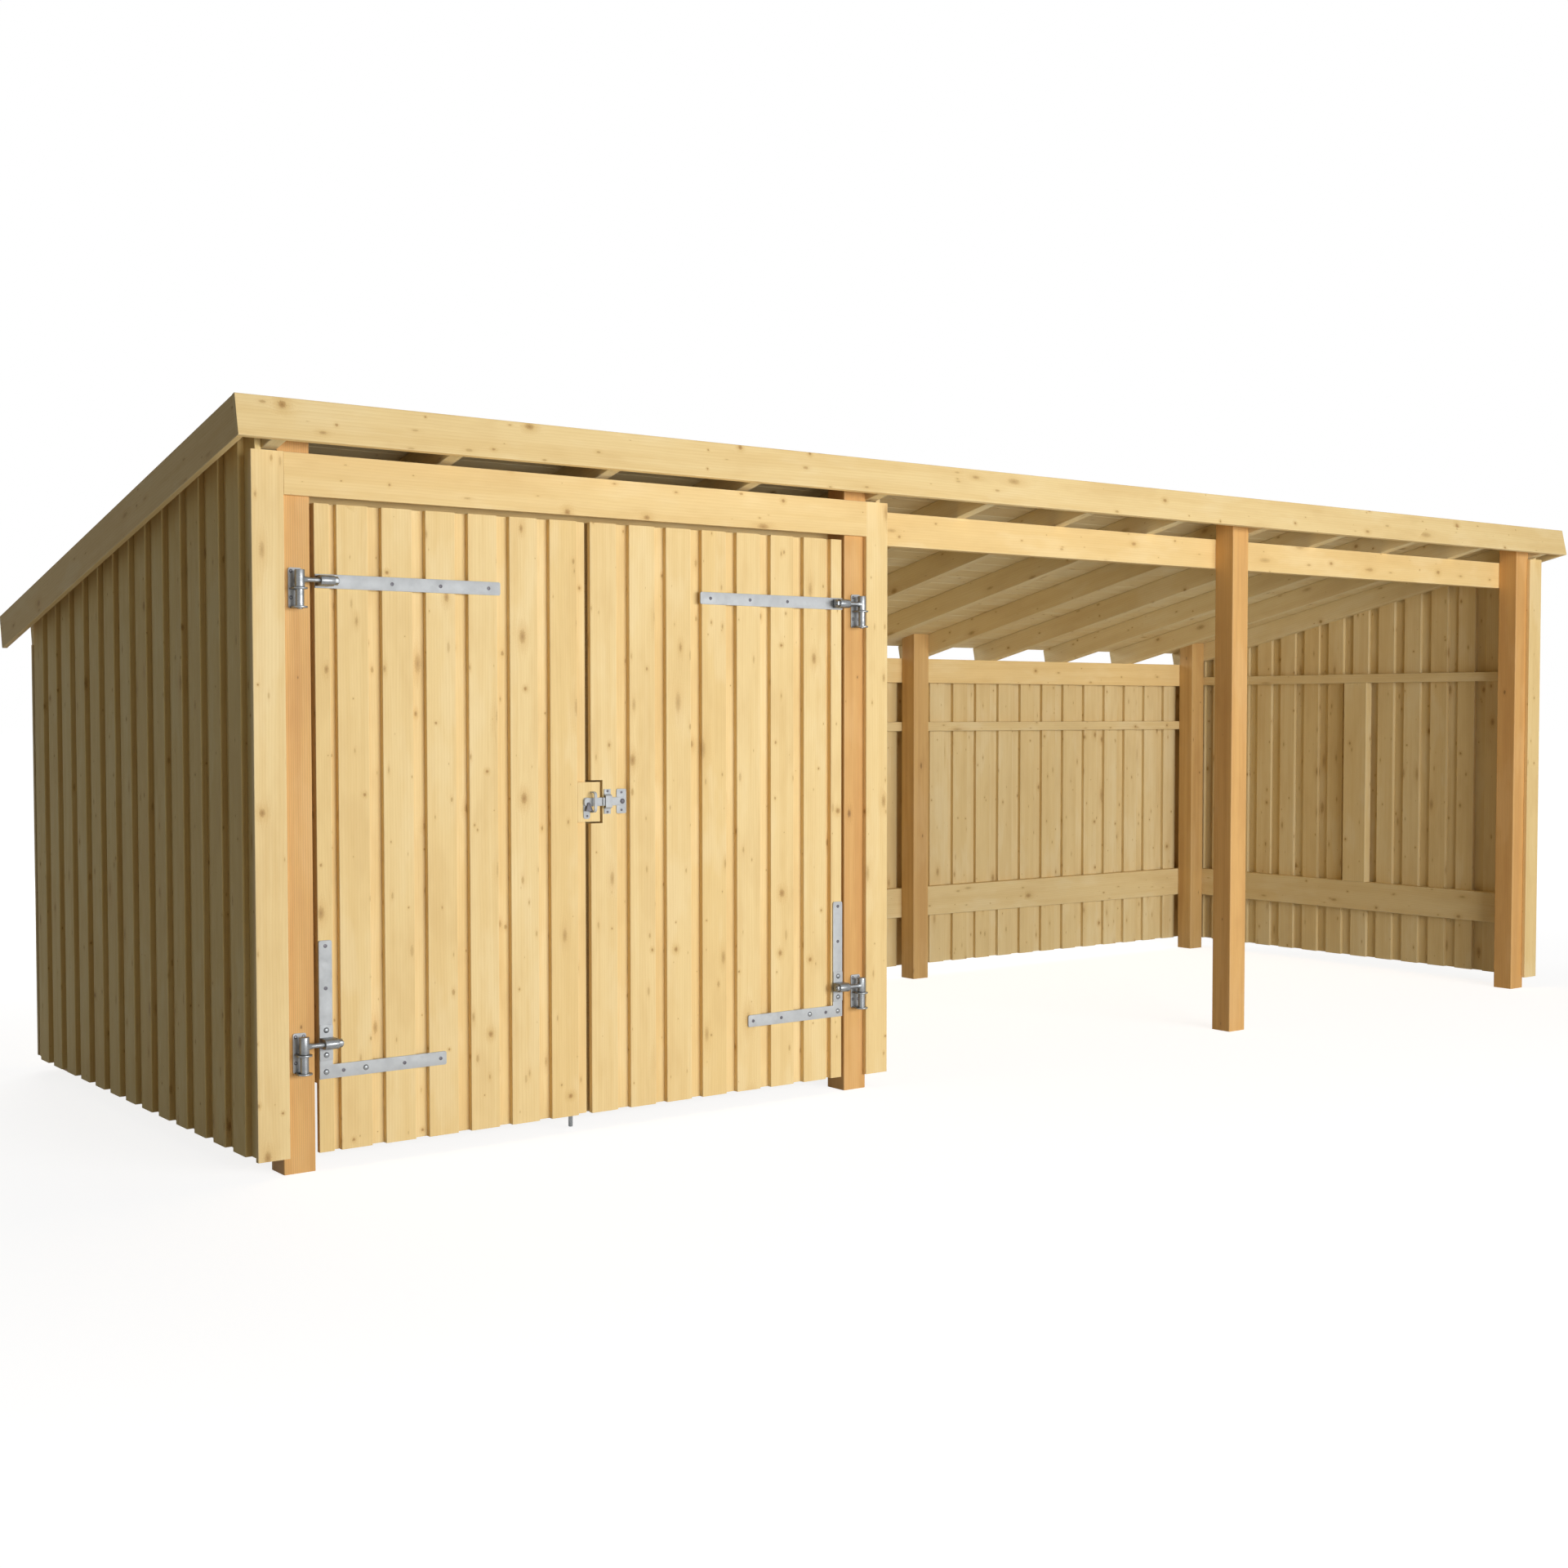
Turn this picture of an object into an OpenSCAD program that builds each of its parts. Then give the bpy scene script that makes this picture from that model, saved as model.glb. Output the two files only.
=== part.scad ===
// Open-front garden shed: a closed store behind a pair of doors, and two open bays
// under one roof that falls to the back. Millimetres, +Z up, front towards -Y.

/* [Frame] */
// Distance between post centres along the front
bay_w = 2030; // [1800:10:2400]
// Depth from the front of the front posts to the back of the back posts
frame_d = 2106; // [1700:1:2600]
// Side of a square post
post_w = 95; // [85:1:110]
// Thickness of the beams, rails and rafters
timber_t = 45; // [38:1:55]
// Height of a beam
beam_h = 120; // [95:1:170]

/* [Roof] */
// Fall of the roof to the back, in degrees
roof_fall = 12.5; // [8:0.5:15]
// Height of a rafter
rafter_h = 95; // [80:1:145]
// Spaces between rafters in one bay
rafter_spaces = 4; // [3:1:6]
// Thickness of the roof boards
deck_t = 16; // [14:1:25]
// Thickness of the roofing felt
felt_t = 2; // [1:0.5:4]
// Height of a fascia board
fascia_h = 120; // [115:1:150]
// Thickness of a fascia board
fascia_t = 19; // [15:1:25]
// Reach of the roof's top edge in front of the posts
front_eave = 82; // [70:1:200]
// Reach of the roof behind the back wall
back_eave = 63; // [40:1:200]
// Reach of the roof beside the side walls
side_eave = 68; // [40:1:200]

/* [Walls] */
// Thickness of a cladding board
board_t = 19; // [16:1:22]
// Width of a cladding board
board_w = 96; // [85:0.5:110]
// Overlap of inner and outer boards on the walls
wall_lap = 17.4; // [10:0.1:30]
// Gap between the ground and the walls, doors and trims
ground_gap = 50; // [30:1:80]
// First outer board of a side wall, from the front
side_first = 77; // [70:1:90]
// First outer board of the back wall, from its left end
back_first = 27; // [15:1:40]
// Gap between the back wall's boards and the rafters
eave_gap = 4; // [2:1:20]
// Height of a low rail
low_rail_h = 145; // [95:1:170]
// Underside of the low rails above the ground
low_rail_z = 298; // [200:1:400]
// Height of a middle rail
mid_rail_h = 45; // [38:1:60]
// Distance of the side walls' middle rail below the rafters at the back
side_mid_drop = 70; // [20:1:300]
// Underside of the back wall's middle rail
back_mid_z = 1226; // [900:1:1300]
// Width of the stud between a side wall's rails
stud_w = 140; // [95:1:170]
// Front edge of the stud, from the front
stud_y = 918; // [700:1:1200]

/* [Front] */
// Width of a trim board
trim_w = 95; // [85:1:110]
// Thickness of the trims and the header
trim_t = 19; // [15:1:22]
// Height of the header board over the doors
header_h = 120; // [95:1:140]
// Gap between the doors and the header
header_gap = 16; // [10:1:20]
// Gap between the header and the rafters over the posts
header_clear = 6; // [3:1:40]

/* [Doors] */
// Height of a door leaf
leaf_h = 1862; // [1700:1:1900]
// Gap between a leaf and its post
post_gap = 12; // [8:1:16]
// Gap between the two leaves
leaf_gap = 9; // [8:0.5:14]
// Gap between the right leaf's inner boards and the doorway's middle
inner_gap = 3; // [2:0.5:6]
// Overlap of inner and outer boards on the doors
door_lap = 26.4; // [15:0.1:35]
// Width of the narrow board at a leaf's hinge edge
edge_board_w = 46; // [42:1:60]
// First full board, from the leaf's hinge edge
door_first = 67.5; // [65:0.5:90]
// Set-back of the inner boards from the leaf's hinge edge
inner_set = 12; // [0:1:20]
// Thickness of a ledge behind the boards
ledge_t = 28; // [22:1:34]
// Height of a ledge
ledge_h = 95; // [70:1:120]
// Distance of a ledge from the leaf's edges
ledge_inset = 22; // [15:1:40]
// Height of the packing block that carries the keeper
block_h = 125; // [115:1:160]
// Reach of the packing block into the meeting board's notch
block_reach = 33; // [20:1:36]
// Clearance beside the packing block in its notch
notch_gap = 9; // [8:0.5:10]
// Clearance above and below the packing block
notch_lift = 5.5; // [5:0.5:12]
// Gap between the left leaf and the batten behind the meeting board
batten_gap = 8; // [7:0.5:12]

/* [Hinges] */
// Distance of the upper hinge rods below the top of the doors
upper_rod_drop = 221; // [150:1:400]
// Height of the lower hinge rods
lower_rod_z = 368; // [350:1:450]
// Distance of the hinge pins in front of the posts
pin_reach = 38; // [34:1:50]
// Radius of a hinge pin
pin_r = 8; // [6:0.5:9]
// Radial play of a hinge pin and of a rod
play = 0.3; // [0.2:0.05:0.5]
// Outer radius of a hinge eye
eye_r = 14; // [12.5:0.5:16]
// Height of a hinge eye
eye_h = 50; // [40:1:56]
// Distance of a hinge eye's lower end below its rod
eye_drop = 22; // [18:1:28]
// Radius of a pintle's fixed barrel
barrel_r = 12; // [10:0.5:14]
// Radius of the rod between eye and strap
rod_r = 6.5; // [5:0.5:8]
// Radius of the flare where a rod leaves its eye
flare_r = 13; // [9:0.5:16]
// Reach of the flare from the pin's axis
flare_reach = 30; // [18:1:40]
// Width of a pintle plate
plate_w = 40; // [34:1:50]
// Height of a pintle plate
plate_h = 115; // [110:1:130]
// Rise of a pintle plate above its eye
plate_rise = 7; // [3:1:12]
// Thickness of a pintle plate
plate_t = 4; // [3:0.5:6]
// Radius of a pintle's round tabs
tab_r = 22; // [18:0.5:24]
// Thickness of a pintle's tabs
tab_t = 5; // [4:0.5:8]
// Length of the upper straps
strap_len = 590; // [450:1:650]
// Width of the straps
strap_w = 40; // [35:1:50]
// Thickness of the straps
strap_t = 5; // [4:0.5:7]
// Clipped corner at a strap's free end
strap_clip = 5; // [2:0.5:10]
// Length of a corner strap's arms
arm_len = 400; // [300:1:450]
// Underside of the corner straps above the ground
arm_z = 263; // [245:1:275]
// Length of the saddle that holds a hinge rod
saddle_len = 42; // [30:1:50]
// Height of the saddle's seat plate on a corner strap
seat_h = 104; // [60:1:120]
// Thickness of the saddle's seat plate
seat_t = 2; // [1.5:0.5:4]
// Height of the saddle that holds a hinge rod
saddle_h = 30; // [24:1:34]
// Width across the flats of a rod's nut
nut_flats = 22; // [19:1:24]
// Thickness of a rod's nut
nut_t = 12; // [9:1:16]
// Reach of a rod past its nut
rod_tip = 3; // [2:0.5:8]

/* [Latch] */
// Middle of the slide bolt above the ground
bolt_z = 1036; // [1000:1:1100]
// Height of the slide bolt's flat bar
bolt_h = 26; // [20:1:30]
// Thickness of the slide bolt's flat bar
bolt_t = 6; // [4:0.5:8]
// Height of the slide bolt's base plates
base_h = 78; // [70:1:90]
// Thickness of the slide bolt's base plates
base_t = 3; // [2:0.5:4]
// Width of the slide bolt's end plate
end_plate_w = 36; // [28:1:45]
// Distance from the notch to the end plate's far edge
bolt_run = 86; // [80:1:110]
// Gap between the flat bar and its tip in the keeper
bar_break = 3; // [2:0.5:6]
// Width of the bar's guide and of the keeper's plate
guide_w = 24; // [18:1:30]
// Thickness of the bent steel of guide and keeper
guide_t = 4; // [3:0.5:6]
// Clearance of the flat bar in its guides
bar_play = 1.5; // [1:0.25:3]
// Distance of the guide from the notch
guide_inset = 4; // [2:0.5:8]
// Distance of the keeper's hoop from the block's end
keeper_inset = 26; // [2:0.5:30]
// Gap between the keeper's plate and its hoop
keeper_gap = 2; // [1:0.5:12]
// Width of the keeper's hoop
hoop_w = 10; // [6:0.5:16]
// Height of the keeper's hoop
hoop_h = 66; // [60:1:80]
// Reach of the keeper's hoop in front of the block
hoop_reach = 27; // [20:1:40]
// Radius of the bends of the keeper's hoop
hoop_r = 13; // [8:0.5:18]
// Height of the keeper's plate above the bolt's middle
keeper_rise = 14; // [12:0.5:30]
// Depth of the keeper's plate below the bolt's middle
keeper_drop = 53; // [40:0.5:56]
// Radius of the drop bolt's rod
drop_r = 7; // [6:0.5:9]
// Length of the drop bolt's rod
drop_len = 420; // [350:1:500]
// Gap between the drop bolt and the ground
drop_gap = 6; // [4:1:20]
// Distance of the drop bolt from the leaf's free edge
drop_inset = 42; // [36:1:50]
// Width of the drop bolt's staples
staple_w = 28; // [24:1:40]
// Lower staple above the rod's lower end
low_staple_z = 126; // [90:1:160]
// Upper staple above the rod's lower end
high_staple_z = 315; // [250:1:320]

/* [Hidden] */
$fn = 48;

bays = 3;
fit = 0.3;
post_half = post_w / 2;
wall_t = timber_t + fit + 2 * board_t;
wall_pitch = 2 * (board_w - wall_lap);
door_pitch = 2 * (board_w - door_lap);
cut = 1;

leaf_top_z = ground_gap + leaf_h;
header_z = leaf_top_z + header_gap;
rafter_base_z = header_z + header_h + header_clear;
upper_rod_z = leaf_top_z - upper_rod_drop;
side_mid_z = rafter_z(frame_d) - side_mid_drop - mid_rail_h;

back_face_y = frame_d + wall_t;
left_face_x = -post_half - wall_t;
right_face_x = bays * bay_w + post_half + wall_t;

roof_front_y = -front_eave;
roof_back_y = back_face_y + back_eave;
roof_len = (roof_back_y - roof_front_y) / cos(roof_fall);
roof_t = rafter_h + deck_t + felt_t;
roof_front_z = rafter_z(roof_front_y) + roof_t / cos(roof_fall);
roof_left_x = left_face_x - side_eave;
roof_right_x = right_face_x + side_eave;

mid_x = bays * bay_w / 2;
mid_y = (roof_back_y + roof_front_y - fascia_h * sin(roof_fall)) / 2;

leaf_x = post_half + post_gap;
leaf_w = bay_w / 2 - board_w / 2 - leaf_gap - leaf_x;
inner_w = bay_w / 2 - leaf_x - inner_gap;
leaf_count = floor((leaf_w - door_first - board_w) / door_pitch);
last_board_end = door_first + leaf_count * door_pitch + board_w;
last_inner = door_first + (leaf_count + 0.5) * door_pitch;
ledge_run = leaf_w - drop_inset - 2 * drop_r - 2 * ledge_inset;
meet_x = bay_w / 2 - board_w / 2;
block_end_x = meet_x + block_reach;
notch_end_x = block_end_x + notch_gap;
batten_x = meet_x - leaf_gap + batten_gap;
tip_end_x = (block_end_x + notch_end_x - bar_break) / 2;
bar_x = tip_end_x + bar_break;
rod_y = -pin_reach;
rod_end = saddle_len + nut_t + rod_tip;
plate_low = plate_h - plate_rise - eye_h + eye_drop;
bar_half = bolt_h / 2 + bar_play;

// Height of the rafters' underside at a depth y
function rafter_z(y) = rafter_base_z - y * tan(roof_fall);
// Height of the roof boards' underside at a depth y
function deck_z(y) = rafter_z(y) + rafter_h / cos(roof_fall);
function post_x(i) = i * bay_w;
// Left face of rafter k of a bay: the first lies left of its post, the others right of theirs
function bay_start(b) = b == 0 ? -post_half - timber_t : post_x(b) + post_half;
function rafter_x(b, k) = bay_start(b) + (bay_start(b + 1) - bay_start(b)) * k / rafter_spaces;

module place() translate([-mid_x, -mid_y, 0]) children();

// Roof frame: x along the front edge, y down the slope, z square to it, from the top front edge
module on_roof() translate([0, roof_front_y, roof_front_z]) rotate([-roof_fall, 0, 0]) children();

// A slab along x from a profile of [depth, height] points
module along_x(x, run) translate([x, 0, 0]) rotate([90, 0, 90]) linear_extrude(run) children();

// The right leaf and its ironwork mirror the left about the middle of the doorway
module right_hand() translate([bay_w, 0, 0]) mirror([1, 0, 0]) children();

module wood() color([0.93, 0.81, 0.55]) place() children();
module brown_wood() color([0.80, 0.58, 0.32]) place() children();
module steel() color([0.72, 0.74, 0.77]) place() children();

module post(i, y)
    brown_wood() along_x(post_x(i) - post_half, post_w)
        polygon([[y, 0], [y + post_w, 0], [y + post_w, deck_z(y + post_w) - fit], [y, deck_z(y) - fit]]);

module beam(y) {
    top = rafter_z(y) - fit;
    along_x(-post_half - timber_t, bays * bay_w + post_w + 2 * timber_t)
        polygon([[y, top - beam_h], [y + timber_t, top - beam_h],
                 [y + timber_t, rafter_z(y + timber_t) - fit], [y, top]]);
}

module rafter(x)
    on_roof() translate([x, fascia_t, -roof_t]) cube([timber_t, roof_len - fascia_t, rafter_h]);

module rafters() wood() {
    for (b = [0 : bays - 1], k = [0 : rafter_spaces - 1]) rafter(rafter_x(b, k));
    rafter(bay_start(bays));
}

module roof_sheet(low, t)
    on_roof() translate([roof_left_x + fascia_t, fascia_t, -low])
        cube([roof_right_x - roof_left_x - 2 * fascia_t, roof_len - fascia_t, t]);

module roof_deck() wood() roof_sheet(deck_t + felt_t, deck_t);
module roof_felt() color([0.2, 0.2, 0.21]) place() roof_sheet(felt_t, felt_t);

module front_fascia() wood() on_roof()
    translate([roof_left_x, 0, -fascia_h]) cube([roof_right_x - roof_left_x, fascia_t, fascia_h]);

module side_fascia(x) wood() on_roof()
    translate([x, fascia_t, -fascia_h]) cube([fascia_t, roof_len - fascia_t, fascia_h]);

// Plan of board-on-board cladding: inner boards against the rails, outer boards over their gaps
module cladding_plan(run, first) {
    count = floor((run - first - board_w) / wall_pitch);
    for (i = [0 : count]) translate([first + i * wall_pitch, board_t]) square([board_w, board_t]);
    intersection() {
        for (i = [0 : count + 1])
            translate([first + (i - 0.5) * wall_pitch, 0]) square([board_w, board_t]);
        square([run, board_t]);
    }
}

// Cladding of a wall that faces left, up to the roof boards
module side_boards(run) difference() {
    translate([-post_half - timber_t - fit, 0, ground_gap]) rotate([0, 0, 90])
        linear_extrude(roof_front_z) cladding_plan(run, side_first);
    on_roof() translate([-bay_w, -bay_w, -deck_t - felt_t - fit])
        cube([2 * bay_w, roof_len + 2 * bay_w, roof_front_z]);
}

// Rails and stud of a wall that faces left
module side_rails() translate([-post_half - timber_t, 0, 0]) {
    translate([0, 0, low_rail_z]) cube([timber_t, frame_d, low_rail_h]);
    translate([0, 0, side_mid_z]) cube([timber_t, frame_d, mid_rail_h]);
    translate([0, stud_y, low_rail_z + low_rail_h + fit])
        cube([timber_t, stud_w, side_mid_z - low_rail_z - low_rail_h - 2 * fit]);
}

// The partition's cladding is notched round the front beam that runs through it
module partition_boards() wood() difference() {
    facing_right(1) side_boards(frame_d);
    translate([0, post_w - fit, rafter_z(post_w) - beam_h - 2 * fit])
        cube([2 * bay_w, timber_t + 2 * fit, beam_h + 2 * fit]);
}

// A wall that faces right, on the right of post i
module facing_right(i) translate([post_x(i), 0, 0]) mirror([1, 0, 0]) children();

module back_wall_boards() wood() {
    run = right_face_x - left_face_x - 2 * board_t;
    translate([left_face_x + board_t, frame_d + timber_t + fit, ground_gap])
        linear_extrude(rafter_z(back_face_y) - eave_gap - ground_gap) cladding_plan(run, back_first);
}

module back_wall_rails() wood() translate([-post_half - timber_t, frame_d, 0]) {
    run = bays * bay_w + post_w + 2 * timber_t;
    translate([0, 0, low_rail_z]) cube([run, timber_t, low_rail_h]);
    translate([0, 0, back_mid_z]) cube([run, timber_t, mid_rail_h]);
}

module trim_board(x) wood()
    translate([x, -trim_t, ground_gap]) cube([trim_w, trim_t, header_z + header_h - ground_gap]);

module door_header() wood() {
    left = left_face_x + trim_w;
    right = post_x(1) + post_half + wall_t - trim_w;
    translate([left, -trim_t, header_z]) cube([right - left, trim_t, header_h]);
}

// Plan of a leaf's boards from its hinge edge; the inner layer ends at reach
module leaf_plan(reach) {
    square([edge_board_w, board_t]);
    for (i = [0 : leaf_count]) translate([door_first + i * door_pitch, 0]) square([board_w, board_t]);
    for (i = [0 : leaf_count]) {
        start = max(inner_set, door_first + (i - 0.5) * door_pitch);
        translate([start, board_t]) square([board_w, board_t]);
    }
    translate([last_inner, board_t]) square([reach - last_inner, board_t]);
}

module leaf_boards(reach)
    translate([leaf_x, 0, ground_gap]) linear_extrude(leaf_h) leaf_plan(reach);

module leaf_ledges() for (z = [arm_z + strap_w / 2, bolt_z, upper_rod_z])
    translate([leaf_x + ledge_inset, 2 * board_t, z - ledge_h / 2]) cube([ledge_run, ledge_t, ledge_h]);

// Block on the left leaf, flush with its boards, that brings the keeper up to the bolt
module keeper_block() wood() translate([leaf_x + last_board_end, 0, bolt_z - block_h / 2])
    cube([block_end_x - leaf_x - last_board_end, board_t, block_h]);

// Room for the packing block, cut from the right leaf up to x
module block_room(x) translate([meet_x - leaf_gap, -cut, bolt_z - block_h / 2 - notch_lift])
    cube([x - meet_x + leaf_gap, 2 * (board_t + cut), block_h + 2 * notch_lift]);

// Board on the right leaf beside the joint of the two leaves, notched round the block
module meeting_board() wood() difference() {
    translate([meet_x, 0, ground_gap]) cube([board_w, board_t, leaf_h]);
    block_room(notch_end_x);
}

// Batten behind the meeting board that covers the joint, above and below the block
module joint_batten() difference() {
    translate([batten_x, board_t, ground_gap]) cube([bay_w / 2 - batten_x, board_t, leaf_h]);
    block_room(bay_w / 2 + cut);
}

module right_boards() wood() {
    right_hand() leaf_boards(inner_w);
    joint_batten();
}

// Round-nosed saddle on a strap, bored for the hinge rod
module saddle(z) translate([leaf_x, 0, z]) difference() {
    along_x(0, saddle_len) {
        translate([-pin_reach, -saddle_h / 2]) square([pin_reach - strap_t, saddle_h]);
        translate([-pin_reach, 0]) circle(saddle_h / 2);
    }
    translate([-cut, rod_y, 0]) rotate([0, 90, 0]) cylinder(r = rod_r + play, h = saddle_len + 2 * cut);
}

module strap_bar(z, run) translate([leaf_x, 0, z]) rotate([90, 0, 0]) linear_extrude(strap_t)
    polygon([[0, 0], [run - strap_clip, 0], [run, strap_clip], [run, strap_w - strap_clip],
             [run - strap_clip, strap_w], [0, strap_w]]);

module upper_strap() {
    strap_bar(upper_rod_z - strap_w / 2, strap_len);
    saddle(upper_rod_z);
}

module corner_strap() {
    strap_bar(arm_z, arm_len);
    translate([leaf_x, -strap_t, arm_z]) cube([strap_w, strap_t, arm_len]);
    translate([leaf_x, -strap_t - seat_t, lower_rod_z - seat_h / 2]) cube([strap_w, seat_t, seat_h]);
    saddle(lower_rod_z);
}

// Eye on the hinge pin with the rod through the saddle and its nut
module eye_bolt(z) translate([0, rod_y, z]) {
    difference() {
        union() {
            translate([0, 0, -eye_drop]) cylinder(r = eye_r, h = eye_h);
            rotate([0, 90, 0]) cylinder(r = rod_r, h = leaf_x + rod_end);
            rotate([0, 90, 0]) cylinder(r1 = flare_r, r2 = rod_r, h = flare_reach);
        }
        translate([0, 0, -eye_drop - cut]) cylinder(r = pin_r + play, h = eye_h + 2 * cut);
    }
    translate([leaf_x + saddle_len, 0, 0]) rotate([0, 90, 0])
        cylinder(d = nut_flats / cos(30), h = nut_t, $fn = 6);
}

module tab(z) translate([0, rod_y, z]) {
    cylinder(r = tab_r, h = tab_t);
    translate([-plate_w / 2 + plate_t, 0, 0]) cube([plate_w - 2 * plate_t, pin_reach - plate_t, tab_t]);
}

// Plate on a post with two tabs, the fixed barrel between them and the pin above
module pintle(z) {
    low = z - plate_low;
    seat = z - eye_drop - play;
    translate([-plate_w / 2, -plate_t, low]) cube([plate_w, plate_t, plate_h]);
    tab(low);
    tab(seat - tab_t);
    translate([0, rod_y, low]) cylinder(r = barrel_r, h = seat - low);
    translate([0, rod_y, seat - tab_t]) cylinder(r = pin_r, h = tab_t + play + eye_h);
}

module eye_bolts() for (z = [upper_rod_z, lower_rod_z]) eye_bolt(z);
module pintles() for (z = [upper_rod_z, lower_rod_z]) pintle(z);

// Bent strip over the bar: feet above and below, a bridge in front
module bar_guide(x) translate([x, 0, bolt_z]) {
    reach = base_t + bolt_t + bar_play;
    for (s = [0, 1]) mirror([0, 0, s]) {
        translate([0, -guide_t, bar_half]) cube([guide_w, guide_t, base_h / 2 - bar_half]);
        translate([0, -reach - guide_t, bar_half]) cube([guide_w, reach + guide_t, guide_t]);
    }
    translate([0, -reach - guide_t, -bar_half - guide_t])
        cube([guide_w, guide_t, 2 * (bar_half + guide_t)]);
}

// Flat bar on the right leaf, with its end plate and guide
module slide_bolt() steel() {
    plate_x = notch_end_x + bolt_run - end_plate_w;
    translate([plate_x, -base_t, bolt_z - base_h / 2]) cube([end_plate_w, base_t, base_h]);
    translate([bar_x, -base_t - bolt_t, bolt_z - bolt_h / 2])
        cube([plate_x + end_plate_w - bar_x, bolt_t, bolt_h]);
    bar_guide(notch_end_x + guide_inset);
}

// Outline of the keeper's hoop in depth and height, drawn in by inset and past the block's face by past
module hoop_outline(inset, past) {
    r = hoop_r - inset;
    run = hoop_reach - hoop_r + past;
    high = hoop_h / 2 - hoop_r;
    translate([-hoop_reach + inset, -high]) square([hoop_reach - inset + past, 2 * high]);
    for (s = [-1, 1]) translate([-hoop_reach + hoop_r, s * high]) {
        circle(r);
        translate([0, -r]) square([run, 2 * r]);
    }
}

// Bent hoop that the bar slides through
module keeper_hoop(x) translate([0, 0, bolt_z]) along_x(x, hoop_w) difference() {
    hoop_outline(0, 0);
    hoop_outline(guide_t, cut);
}

// Keeper on the packing block, with the bolt's tip in it
module bolt_keeper() steel() {
    hoop_x = block_end_x - keeper_inset - hoop_w;
    start = hoop_x - keeper_gap - guide_w;
    translate([start, -base_t, bolt_z - keeper_drop]) cube([guide_w, base_t, keeper_drop + keeper_rise]);
    translate([start, -base_t - bolt_t, bolt_z - bolt_h / 2]) cube([tip_end_x - start, bolt_t, bolt_h]);
    keeper_hoop(hoop_x);
}

// Rod behind the left leaf, in two staples, with a bent handle at its top
module drop_bolt() steel() translate([leaf_x + leaf_w - drop_inset, 2 * board_t, drop_gap]) {
    rod_back = drop_r + guide_t;
    translate([0, rod_back, 0]) cylinder(r = drop_r, h = drop_len);
    translate([0, rod_back, drop_len - drop_r]) rotate([90, 0, 90]) cylinder(r = drop_r, h = ledge_inset);
    for (z = [low_staple_z, high_staple_z])
        translate([-staple_w / 2, 0, z]) cube([staple_w, rod_back, guide_w]);
}

post(0, 0);  // front_post_1
post(1, 0);  // front_post_2
post(2, 0);  // front_post_3
post(3, 0);  // front_post_4
post(0, frame_d - post_w);  // back_post_1
post(1, frame_d - post_w);  // back_post_2
post(2, frame_d - post_w);  // back_post_3
post(3, frame_d - post_w);  // back_post_4
wood() beam(post_w);  // front_beam
wood() beam(frame_d);  // back_beam
rafters();
roof_deck();
roof_felt();
front_fascia();
side_fascia(roof_left_x);  // left_fascia
side_fascia(roof_right_x - fascia_t);  // right_fascia
wood() side_boards(frame_d + timber_t);  // left_wall_boards
wood() facing_right(bays) side_boards(frame_d + timber_t);  // right_wall_boards
partition_boards();
back_wall_boards();
wood() side_rails();  // left_wall_rails
wood() facing_right(bays) side_rails();  // right_wall_rails
wood() facing_right(1) side_rails();  // partition_rails
back_wall_rails();
trim_board(left_face_x);  // left_trim
trim_board(post_x(1) + post_half + wall_t - trim_w);  // middle_trim
trim_board(right_face_x - trim_w);  // right_trim
door_header();
wood() leaf_boards(leaf_w);  // left_door_boards
wood() leaf_ledges();  // left_door_ledges
keeper_block();
right_boards();  // right_door_boards
wood() right_hand() leaf_ledges();  // right_door_ledges
meeting_board();
steel() upper_strap();  // left_upper_strap
steel() corner_strap();  // left_corner_strap
steel() right_hand() upper_strap();  // right_upper_strap
steel() right_hand() corner_strap();  // right_corner_strap
steel() eye_bolts();  // left_eye_bolts
steel() right_hand() eye_bolts();  // right_eye_bolts
steel() pintles();  // left_pintles
steel() right_hand() pintles();  // right_pintles
slide_bolt();
bolt_keeper();
drop_bolt();
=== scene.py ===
import math
import random

import bpy
import numpy as np
from mathutils import Matrix, Vector


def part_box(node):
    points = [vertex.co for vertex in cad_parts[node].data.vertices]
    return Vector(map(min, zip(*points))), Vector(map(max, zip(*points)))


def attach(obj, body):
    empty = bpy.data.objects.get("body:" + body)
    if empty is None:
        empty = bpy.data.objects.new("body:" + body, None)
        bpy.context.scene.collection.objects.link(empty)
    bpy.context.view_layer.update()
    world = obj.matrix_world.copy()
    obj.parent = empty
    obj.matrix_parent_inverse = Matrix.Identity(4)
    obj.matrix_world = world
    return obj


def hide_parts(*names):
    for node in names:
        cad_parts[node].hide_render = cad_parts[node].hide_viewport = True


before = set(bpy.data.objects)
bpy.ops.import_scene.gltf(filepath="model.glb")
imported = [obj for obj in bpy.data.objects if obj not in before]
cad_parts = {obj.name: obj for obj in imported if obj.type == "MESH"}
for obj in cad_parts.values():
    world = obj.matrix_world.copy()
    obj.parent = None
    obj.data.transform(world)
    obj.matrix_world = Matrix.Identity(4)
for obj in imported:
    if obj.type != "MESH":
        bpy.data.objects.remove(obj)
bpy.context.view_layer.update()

dice = random.Random(4)
xDir, yDir, zDir = Vector((1, 0, 0)), Vector((0, 1, 0)), Vector((0, 0, 1))


def deselectAll():
    bpy.ops.object.select_all(action="DESELECT")


def activate(*pieces):
    deselectAll()
    for piece in pieces:
        piece.select_set(True)
    bpy.context.view_layer.objects.active = pieces[0]


def inEditMode(piece, work):
    activate(piece)
    bpy.ops.object.mode_set(mode="EDIT")
    work()
    bpy.ops.object.mode_set(mode="OBJECT")


def clearChoice(piece, kind):
    def work():
        bpy.ops.mesh.select_mode(type=kind)
        bpy.ops.mesh.select_all(action="DESELECT")
    inEditMode(piece, work)


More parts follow.
